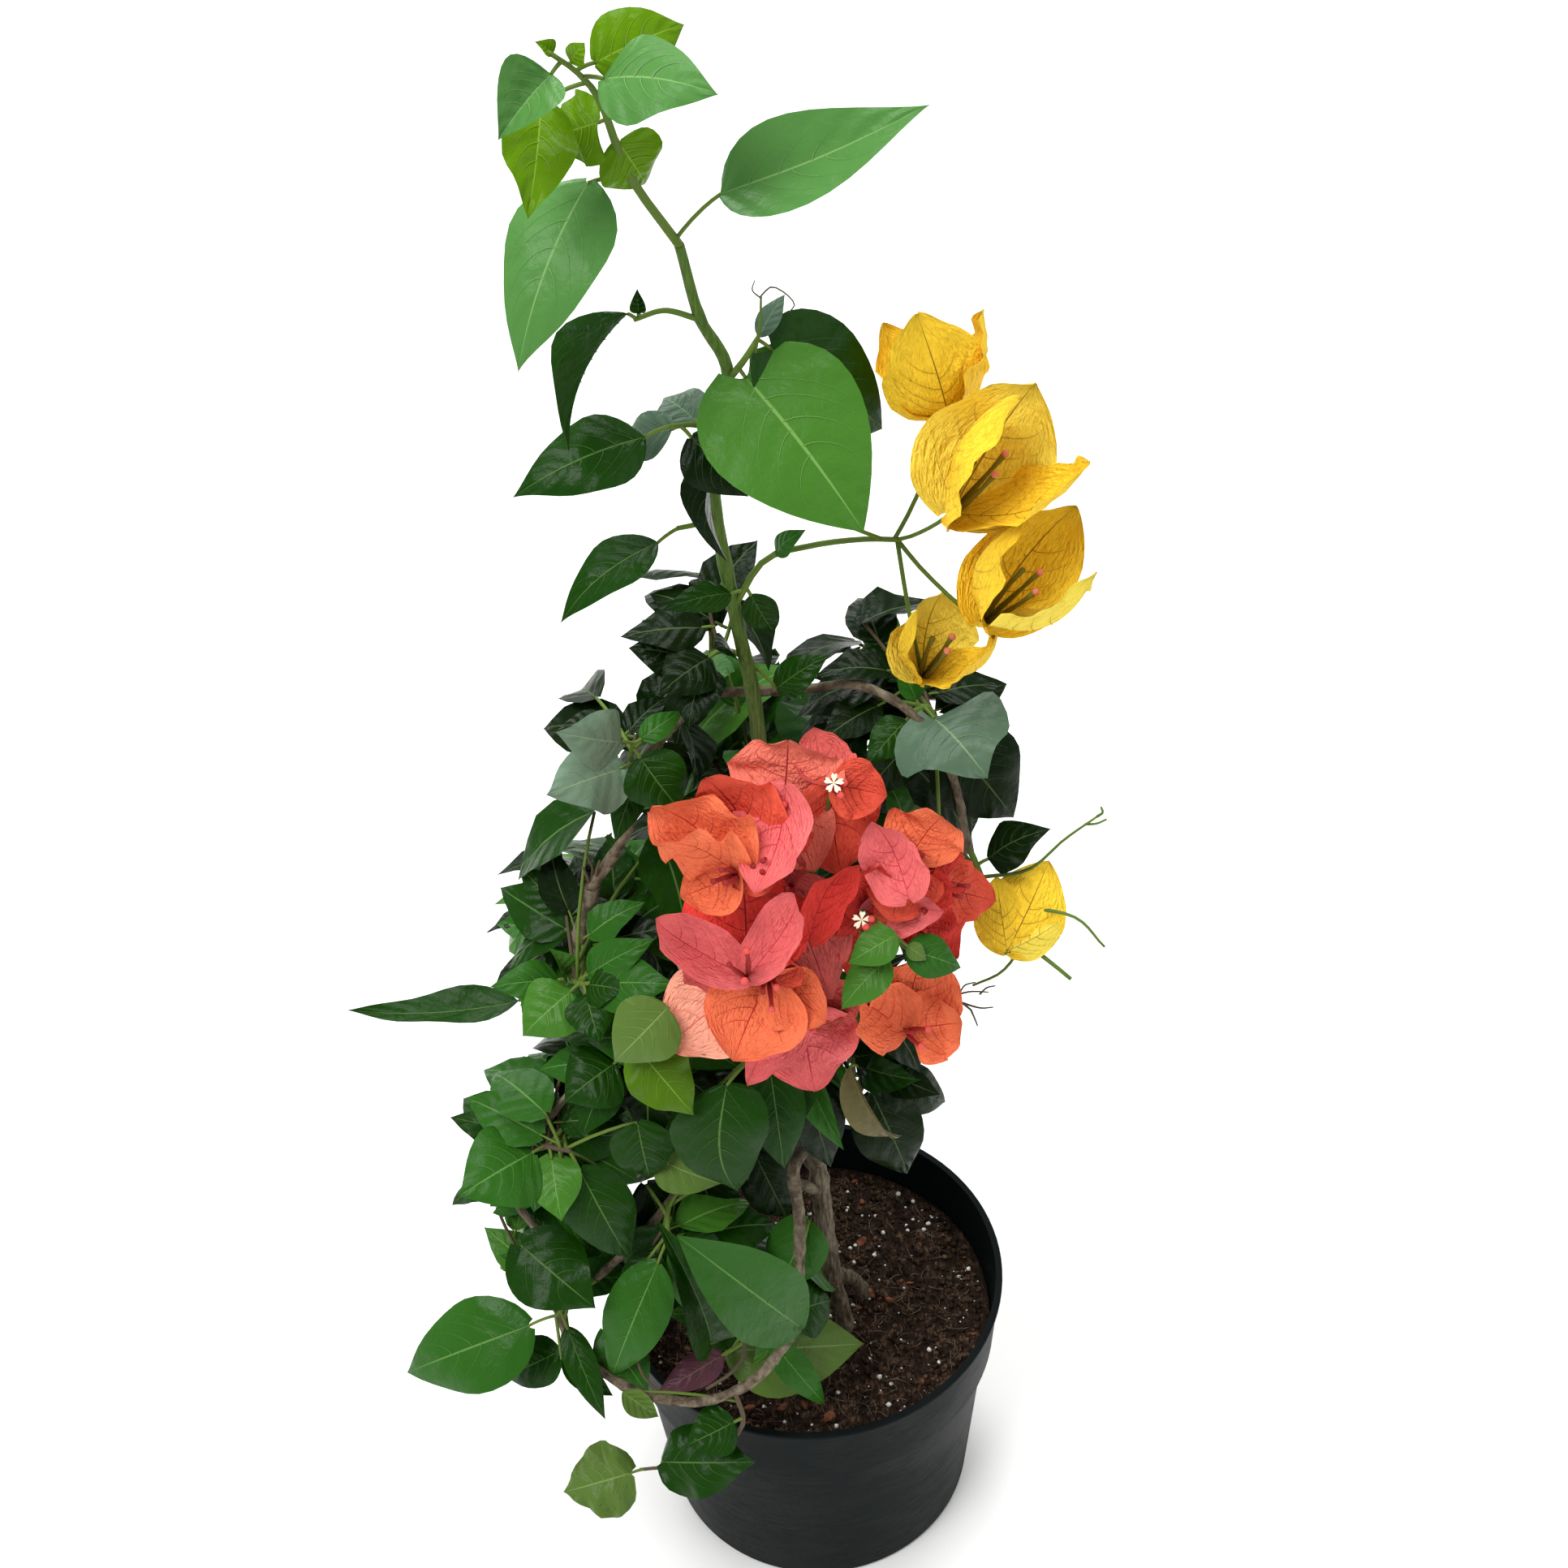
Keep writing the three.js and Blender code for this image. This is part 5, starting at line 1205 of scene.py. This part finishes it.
def facing_of(base, tip, roll):
    """The way a named leaf's upper face looks: towards the light, rolled about its own length"""
    return turned_about(TOWARDS_LIGHT, unit(tip - base), math.radians(roll))


def leaf_piece(name):
    """The piece that a mass's leaves go into. The few leaves among the blooms go with the collar's."""
    pieces = [piece for piece, (slot, masses) in PIECES.items() if slot == "leaf" and name in masses]
    return pieces[0] if pieces else "collar_leaves"


# Masses on a woody stem, and what a name's length is multiplied by for the mass's seed
WOODY_MASSES = ("hanging_leaves", "left_lower_leaves")
NAME_SEED_STEP = 101

# Forms whose outline isn't a plain leaf's
SPECIAL_SHAPES = {"heart": HEART_SHAPE, "broad": BROAD_SHAPE}


def grow_named(name, spec, heaps, thicket):
    """A mass's stem, with the leaves and blooms that stand where they are known to"""
    stem = spec["path"]
    twigs = heaps["twigs"]
    random = seeded(len(name) * NAME_SEED_STEP + len(stem))

    def seat_at(place):
        return on_path(stem, [LAST_SEAT * place])[0]

    add_twig(twigs, stem, spec["radii"], "brown_twig" if name in WOODY_MASSES else "green_twig", STEM_DETAIL)
    for at, sprig in spec.get("sprigs", []):
        add_twig(twigs, [tuple(seat_at(at)), *sprig], SPRIG_RADII, "green_twig", SPRIG_DETAIL)
    for at, tip, width, roll, tint, form, *rest in spec.get("leaves", []):
        petiole = rest[0] if rest else PETIOLE_SHARE
        seat = seat_at(at)
        tip = vector(tip)
        base = vector(petiole) if isinstance(petiole, tuple) else seat + (tip - seat) * petiole
        blade = Blade(
            base, tip, facing_of(base, tip, roll), width, SPECIAL_SHAPES.get(form, LEAF_SHAPE), FORMS[form],
            LEAF_BULGE, between(random, PHASES))
        vein = LEAF_VEIN if width > VEINED_WIDTH else None
        add_blade(heaps[leaf_piece(name)], blade, tint, LEAF_ROWS, LEAF_SIDES, vein)
        bow = UP * PETIOLE_BOW * np.linalg.norm(base - seat)
        add_twig(twigs, bowed(seat, base, bow), PETIOLE_RADII, "pale_twig", PETIOLE_DETAIL)
        thicket.add(*test_shape(blade))
    for at, *bloom in spec.get("blooms", []):
        root, _, _, tint, _, bracts = bloom
        kind = "yellow" if tint in ("gold", "sun") else "coral"
        add_bloom(heaps, kind, seat_at(at), bloom, random)
        for tip, width, *_ in bracts:
            thicket.add(*tube([vector(root), vector(tip)], (width * 0.3, width * 0.3), 6)[:2])


def grow_by_rule(name, spec, heaps, thicket):
    """Twigs that fill a mass's space evenly, each with a leaf at its tip, leaves on its sides, and finer
    shoots between them. A leaf that would leave the space or touch something turns another way."""
    piece = leaf_piece(name)
    twigs = spec["twigs"]
    centre, reach = (vector(place) for place in spec["space"])
    random = seeded(twigs["seed"])
    dressing = seeded(twigs["seed"] + DRESSING_SEED_STEP)

    def strayed(heading, lift):
        stray = [between(random, RULE["stray"]), between(random, RULE["stray"]), between(random, lift)]
        return unit(heading + np.array(stray))

    def dressed(base, tip, width):
        form = {name: between(dressing, span) for name, span in DRESSING.items()}
        form["lobe"] = DRESSED_LOBE
        facing = unit(base - centre) + UP * RULE["facing_up"]
        return Blade(base, tip, facing, width, LEAF_SHAPE, form, LEAF_BULGE, between(dressing, PHASES))

    def add_shoot(propose, rule, finish, radii):
        """Tries to place a leaf and its twig, and returns where the twig runs from and to"""
        for _ in range(RULE["tries"]):
            length = twigs["leaf"] * between(random, rule["size"]) * (1 - PETIOLE_SHARE)
            seat, base, tip = propose(length)
            if np.sum(((tip - centre) / reach) ** 2) > 1:
                continue
            blade = dressed(base, tip, length / LEAF_LENGTH_TO_WIDTH)
            if thicket.touches(*test_shape(blade, rule.get("room", LEAF_ROOM))):
                continue
            thicket.add(*test_shape(blade))
            # A mass's tints often include the dark one, which is partly painted shade.
            tint = spec["tints"][int(dressing() * len(spec["tints"]))]
            swing = np.array([dressing() - 0.5, dressing() - 0.5, dressing() * 0.5])
            bow = swing * SHOOT_BOW * np.linalg.norm(base - seat)
            add_twig(heaps["twigs"], bowed(seat, base, bow), radii, finish, SHOOT_DETAIL)
            add_blade(heaps[piece], blade, tint, SMALL_LEAF_ROWS, SMALL_LEAF_SIDES, None)
            return seat, base
        return None

    def from_side(seat, ahead, hand, rule):
        across = unit(np.cross(ahead, UP))

        def propose(length):
            heading = strayed(ahead + across * between(random, rule["sideways"]) * hand, rule["lift"])
            base = seat + heading * length * PETIOLE_SHARE
            return seat, base, base + heading * length

        return propose

    shoots = []
    for index in range(twigs["count"]):
        height = 1 - 2 * (index + 0.5) / twigs["count"]
        direction = on_sphere(height, GOLDEN_TURN * index + between(random, RULE["turn"]))

        def outermost(length):
            tip = centre + direction * reach * between(random, RULE["tip"])
            base = tip - strayed(direction, RULE["lift"]) * length
            return on_path(spec["path"], [between(random, RULE["seat"])])[0], base, tip

        shoot = add_shoot(outermost, RULE, "green_twig" if index % 3 else "brown_twig", SHOOT_RADII)
        if not shoot:
            continue
        shoots.append(shoot)
        seat, base = shoot
        ahead = unit(base - seat)
        finer = enumerate(FINER["places"][:twigs.get("finer")])
        sides = [(0.5, -1, RULE)] + [(share, 1 - 2 * (place % 2), FINER) for place, share in finer]
        for share, hand, rule in sides:
            root = seat + (base - seat) * share
            add_shoot(from_side(root, ahead, hand, rule), rule, "pale_twig", rule["radii"])
    for index in range(twigs.get("fill", FILL["share"]) * twigs["count"] if shoots else 0):
        seat, base = shoots[index % len(shoots)]
        root = seat + (base - seat) * between(random, FILL["seat"])
        heading = on_sphere(between(random, (-1, 1)), GOLDEN_TURN * index)

        def filling(length):
            way = strayed(heading, FILL["lift"])
            start = root + way * length * between(random, FILL["reach"])
            return root, start, start + way * length

        shoot = add_shoot(filling, FILL, "pale_twig", FILL["radii"])
        if shoot:
            shoots.append(shoot)


def grow_plant():
    heaps = {name: Heap(name) for name in PIECES}
    thicket = Thicket()
    for _, radii, path in LIMBS.values():
        shares = np.linspace(0, 1, 4 * len(path))
        radius = radii[0] + (radii[1] - radii[0]) * shares + LEAF_ROOM
        thicket.add(*tube(on_path(path, shares), radius, 5)[:2])
    for name, spec in MASSES.items():
        grow_named(name, spec, heaps, thicket)
    for name, spec in MASSES.items():
        if "twigs" in spec:
            grow_by_rule(name, spec, heaps, thicket)
    for finish, radii, path in BARE_TWIGS:
        add_twig(heaps["twigs"], path, radii, finish, BARE_DETAIL)
    for name, (slot, masses) in PIECES.items():
        heaps[name].make(slot, masses)


def select_only(*pieces):
    bpy.ops.object.select_all(action="DESELECT")
    for piece in pieces:
        piece.select_set(True)
    bpy.context.view_layer.objects.active = pieces[0]


def apply_modifier(piece, kind, **settings):
    select_only(piece)
    modifier = piece.modifiers.new(kind.lower(), kind)
    for name, value in settings.items():
        setattr(modifier, name, value)
    bpy.ops.object.modifier_apply(modifier=modifier.name)


def displaced(piece, name, size, depth, strength, **settings):
    """Pushes a piece's surface in and out by a cloudy texture"""
    texture = bpy.data.textures.new(name, "CLOUDS")
    texture.noise_scale = size
    texture.noise_depth = depth
    settings = {"texture_coords": "LOCAL", "strength": strength, "mid_level": 0.5, **settings}
    apply_modifier(piece, "DISPLACE", texture=texture, **settings)


def finished(piece, finish, nodes):
    piece.data.materials.clear()
    piece.data.materials.append(FINISHES[finish])
    return placed(piece, nodes)


# A limb's mesh: steps between the points of its path, swollen nodes, and the bark's relief in metres
LIMB_STEPS = 7
NODE_EVERY = 9
NODE_STEP = 4
NODE_SWELLING = 0.12
BARK_RELIEF = 0.0012
GREEN_RELIEF = 0.0003
TRUNK_GRAIN = 0.0008
TRUNK_RELIEF = 0.0018


def limb_mesh(name, path, radii):
    """A round limb with slightly swollen nodes, made of a curve with its own thickness at each point"""
    steps = LIMB_STEPS * (len(path) - 1) + 1
    shares = np.linspace(0, 1, steps)
    points = on_path(path, shares)
    data = bpy.data.curves.new(name, "CURVE")
    data.dimensions = "3D"
    data.bevel_depth = MM
    data.bevel_resolution = 4
    data.use_fill_caps = True
    spline = data.splines.new("POLY")
    spline.points.add(steps - 1)
    for index, (point, place) in enumerate(zip(spline.points, points * MM)):
        point.co = (*place, 1)
        swelling = NODE_SWELLING if index % NODE_EVERY == NODE_STEP else 0
        point.radius = (radii[0] + (radii[1] - radii[0]) * shares[index]) * (1 + swelling)
    limb = bpy.data.objects.new(name, data)
    bpy.context.scene.collection.objects.link(limb)
    select_only(limb)
    bpy.ops.object.convert(target="MESH")
    return limb


def joined(name, pieces):
    select_only(*pieces)
    bpy.ops.object.join()
    pieces[0].name = name
    pieces[0].data.name = name
    return pieces[0]


def make_limbs():
    """The green leader as a piece of its own, and all the woody stems joined into another"""
    woody = []
    for name, (finish, radii, path) in LIMBS.items():
        limb = limb_mesh(name + "_bark", path, radii)
        apply_modifier(limb, "SUBSURF", levels=1, render_levels=1, subdivision_type="SIMPLE")
        relief = BARK_RELIEF if finish == "bark" else GREEN_RELIEF
        displaced(limb, "furrows", 0.07, 3, relief, texture_coords="UV")
        displaced(limb, "knots", 0.009, 2, relief)
        limb.data.shade_smooth()
        if finish == "bark":
            woody.append(limb)
        else:
            finished(limb, finish, [name])
    names = [name for name, (finish, _, _) in LIMBS.items() if finish == "bark"]
    finished(joined("woody_stems", woody), "bark", names)


def make_trunk():
    parts = [limb_mesh(f"trunk_{index}", path, radii) for index, (radii, path) in enumerate(TRUNK)]
    trunk = joined("trunk_bark", parts)
    apply_modifier(trunk, "REMESH", mode="VOXEL", voxel_size=TRUNK_GRAIN)
    apply_modifier(trunk, "SMOOTH", factor=0.5, iterations=4)
    displaced(trunk, "trunk_furrows", 0.006, 3, TRUNK_RELIEF)
    trunk.data.shade_smooth()
    finished(trunk, "trunk_bark", ["trunk"])


def raised(name, rings):
    """A closed round shape raised from its underside: each ring is extruded from the last one and resized.
    A ring is its radius and height. The last ring's face stays open for editing and selected."""
    radius, height = rings[0]
    bpy.ops.object.select_all(action="DESELECT")
    bpy.ops.mesh.primitive_circle_add(
        vertices=POT_SEGMENTS, radius=radius * MM, fill_type="NGON", location=(0, 0, height * MM))
    piece = bpy.context.object
    piece.name = name
    piece.data.name = name
    bpy.ops.object.transform_apply(location=True, rotation=False, scale=False)
    bpy.ops.object.mode_set(mode="EDIT")
    bpy.ops.mesh.select_all(action="SELECT")
    for (last_radius, last_height), (radius, height) in zip(rings, rings[1:]):
        growth = radius / last_radius
        bpy.ops.mesh.extrude_region_move(
            TRANSFORM_OT_translate={"value": (0, 0, (height - last_height) * MM)})
        bpy.ops.transform.resize(value=(growth, growth, 1))
    return piece


def make_pot():
    collar_foot = POT_HEIGHT - COLLAR_HEIGHT
    body_top = collar_foot - STEP_DROP
    pot = raised("pot_body", [
        (FOOT_RADIUS - 2, 0), (FOOT_RADIUS, 2), (BODY_TOP_RADIUS, body_top),
        (COLLAR_FOOT_RADIUS, collar_foot), (RIM_RADIUS - LIP_OVERHANG, POT_HEIGHT - LIP_HEIGHT),
        (RIM_RADIUS, POT_HEIGHT - LIP_HEIGHT + 1), (RIM_RADIUS, POT_HEIGHT),
        (RIM_RADIUS - LIP_OVERHANG - WALL, POT_HEIGHT), (COLLAR_FOOT_RADIUS - WALL, collar_foot + 1),
        (BODY_TOP_RADIUS - WALL, body_top + 1), (FOOT_RADIUS - WALL, 3)])
    bpy.ops.mesh.select_all(action="SELECT")
    bpy.ops.mesh.normals_make_consistent(inside=False)
    bpy.ops.object.mode_set(mode="OBJECT")
    apply_modifier(pot, "BEVEL", width=0.0006, segments=3, limit_method="ANGLE", angle_limit=math.radians(25))
    select_only(pot)
    bpy.ops.object.shade_smooth_by_angle(angle=math.radians(35))
    finished(pot, "pot", ["pot"])


# The soil's top: rings of faces, their width in metres, and its reliefs as (name, size, height) in metres
SOIL_RINGS = 44
SOIL_RING_WIDTH = 0.0021
SOIL_RELIEFS = (("mounds", 0.03, 0.007), ("lumps", 0.007, 0.0045), ("grains", 0.0022, 0.002))


def make_soil():
    """Soil that follows the pot's inner wall, with a heaped and crumbly top"""
    soil = raised("soil_bed", [
        (FOOT_RADIUS - WALL - 1, SOIL_FLOOR), (SOIL_STEP_RADIUS, SOIL_STEP),
        (SOIL_STEP_RADIUS + STEP_DROP, SOIL_STEP + STEP_DROP), (SOIL_RADIUS, SOIL_TOP)])
    for _ in range(SOIL_RINGS):
        bpy.ops.mesh.inset(thickness=SOIL_RING_WIDTH, depth=0)
    bpy.ops.mesh.poke()
    bpy.ops.object.mode_set(mode="OBJECT")
    top = soil.vertex_groups.new(name="top")
    top.add([
        vertex.index for vertex in soil.data.vertices
        if vertex.co.z > (SOIL_TOP - 1) * MM and vertex.co.xy.length < (SOIL_RADIUS - 1) * MM], 1, "REPLACE")
    for name, size, height in SOIL_RELIEFS:
        displaced(soil, name, size, 4, height, vertex_group="top", direction="Z")
    soil.data.shade_smooth()
    return finished(soil, "soil", ["soil"])


def lump(size, random, stretch):
    """A small uneven pebble: an octahedron cut once more, its corners pushed in and out"""
    corners = np.array([
        (1, 0, 0), (-1, 0, 0), (0, 1, 0), (0, -1, 0), (0, 0, 1), (0, 0, -1)], dtype=float)
    faces = [(0, 2, 4), (2, 1, 4), (1, 3, 4), (3, 0, 4), (2, 0, 5), (1, 2, 5), (3, 1, 5), (0, 3, 5)]
    points = corners.tolist()
    midpoints = {}

    def middle(one, other):
        key = (min(one, other), max(one, other))
        if key not in midpoints:
            midpoints[key] = len(points)
            points.append(unit(corners[one] + corners[other]).tolist())
        return midpoints[key]

    cut = []
    for a, b, c in faces:
        ab, bc, ca = middle(a, b), middle(b, c), middle(c, a)
        cut += [(a, ab, ca), (ab, b, bc), (ca, bc, c), (ab, bc, ca)]
    shape = np.array(points)
    shape *= np.array([[between(random, (0.7, 1.15))] for _ in range(len(shape))])
    turn = Matrix.Rotation(random() * FULL_TURN, 3, "Z") @ Matrix.Rotation(random() * FULL_TURN, 3, "X")
    return (shape * np.array(stretch) * size) @ np.array(turn), cut


# What lies on the soil: piece, finish, count, sizes from smallest to largest, and proportions. It is
# dropped from a height above the soil's top, and keeps clear of the soil's edge.
SPECKS = (
    ("soil_crumbs", "crumb", 2600, (0.6, 2.4), (1, 1, 0.8)),
    ("perlite_grains", "perlite", 260, (0.4, 1.8), (1, 1, 0.85)),
    ("bark_chips", "chip", 70, (1.6, 5), (1, 0.6, 0.28)),
)
SPECK_SEED = 77
SPECK_MARGIN = 4
DROP = 30
FIBRES = 420
FIBRE_MARGIN = 8
FIBRE_END_MARGIN = 3
FIBRE_BEND = (-3, 3)
FIBRE_RISE = (0.3, 2)
FIBRE_LENGTHS = (4, 15)


def scatter_on_soil(soil):
    """Crumbs, perlite, bark chips and fibres lying on the soil"""
    surface = BVHTree.FromPolygons(
        [vertex.co / MM for vertex in soil.data.vertices],
        [tuple(face.vertices) for face in soil.data.polygons])
    random = seeded(SPECK_SEED)

    def spot(margin):
        radius = (SOIL_RADIUS - margin) * math.sqrt(random())
        place = on_sphere(0, random() * FULL_TURN) * radius + UP * (SOIL_TOP + DROP)
        return vector(surface.ray_cast(Vector(place), Vector((0, 0, -1)))[0])

    for name, finish, count, sizes, stretch in SPECKS:
        heap = Heap(name)
        for _ in range(count):
            size = sizes[0] + (sizes[1] - sizes[0]) * random() ** 2
            corners, faces = lump(size, random, stretch)
            heap.add(corners + spot(SPECK_MARGIN) + UP * size * 0.25, faces, finish)
        heap.make("soil")
    heap = Heap("peat_fibres")
    for _ in range(FIBRES):
        start = spot(FIBRE_MARGIN) + UP * 0.4
        heading = on_sphere(0, random() * FULL_TURN)
        reach = between(random, FIBRE_LENGTHS)
        bend = np.cross(UP, heading) * between(random, FIBRE_BEND) + UP * between(random, FIBRE_RISE)
        end = start + heading * reach
        if math.hypot(end[0], end[1]) < SOIL_RADIUS - FIBRE_END_MARGIN:
            add_twig(heap, bowed(start, end, bend), FIBRE_RADII, "fibre", FIBRE_DETAIL)
    heap.make("soil")


def make_stage():
    bpy.ops.object.select_all(action="DESELECT")
    bpy.ops.mesh.primitive_plane_add(size=FLOOR_SIZE)
    floor = bpy.context.object
    floor.name = "floor"
    finish = Finish("studio_floor", **{"Base Color": linear(FLOOR_COLOUR), "Roughness": 0.9})
    floor.data.materials.append(finish.material)


def make_light():
    """A dim white sky and large soft lamps that look at the plant"""
    world = bpy.data.worlds.new("studio")
    world.use_nodes = True
    background = world.node_tree.nodes["Background"]
    background.inputs["Color"].default_value = (1, 1, 1, 1)
    background.inputs["Strength"].default_value = SKY_STRENGTH
    bpy.context.scene.world = world
    for name, (place, power) in LAMPS.items():
        data = bpy.data.lights.new(name, "AREA")
        data.shape = "DISK"
        data.size = LAMP_SIZE
        data.energy = power
        lamp = bpy.data.objects.new(name, data)
        lamp.location = place
        lamp.rotation_euler = (Vector(place) - Vector(LAMP_TARGET)).to_track_quat("Z", "Y").to_euler()
        bpy.context.scene.collection.objects.link(lamp)


def make_camera():
    data = bpy.data.cameras.new("camera")
    data.lens = CAMERA_LENS
    data.sensor_width = CAMERA_SENSOR
    data.clip_start, data.clip_end = CAMERA_REACH
    camera = bpy.data.objects.new("camera", data)
    camera.location = vector(CAMERA_PLACE) * MM
    tilt = Matrix.Rotation(math.radians(90 - CAMERA_PITCH), 3, "X")
    roll = Matrix.Rotation(math.radians(CAMERA_ROLL), 3, "Z")
    camera.rotation_euler = (tilt @ roll).to_euler()
    bpy.context.scene.collection.objects.link(camera)
    bpy.context.scene.camera = camera


bpy.context.scene.view_settings.view_transform = "Standard"
make_camera()
make_stage()
make_light()
make_pot()
scatter_on_soil(make_soil())
make_trunk()
make_limbs()
grow_plant()
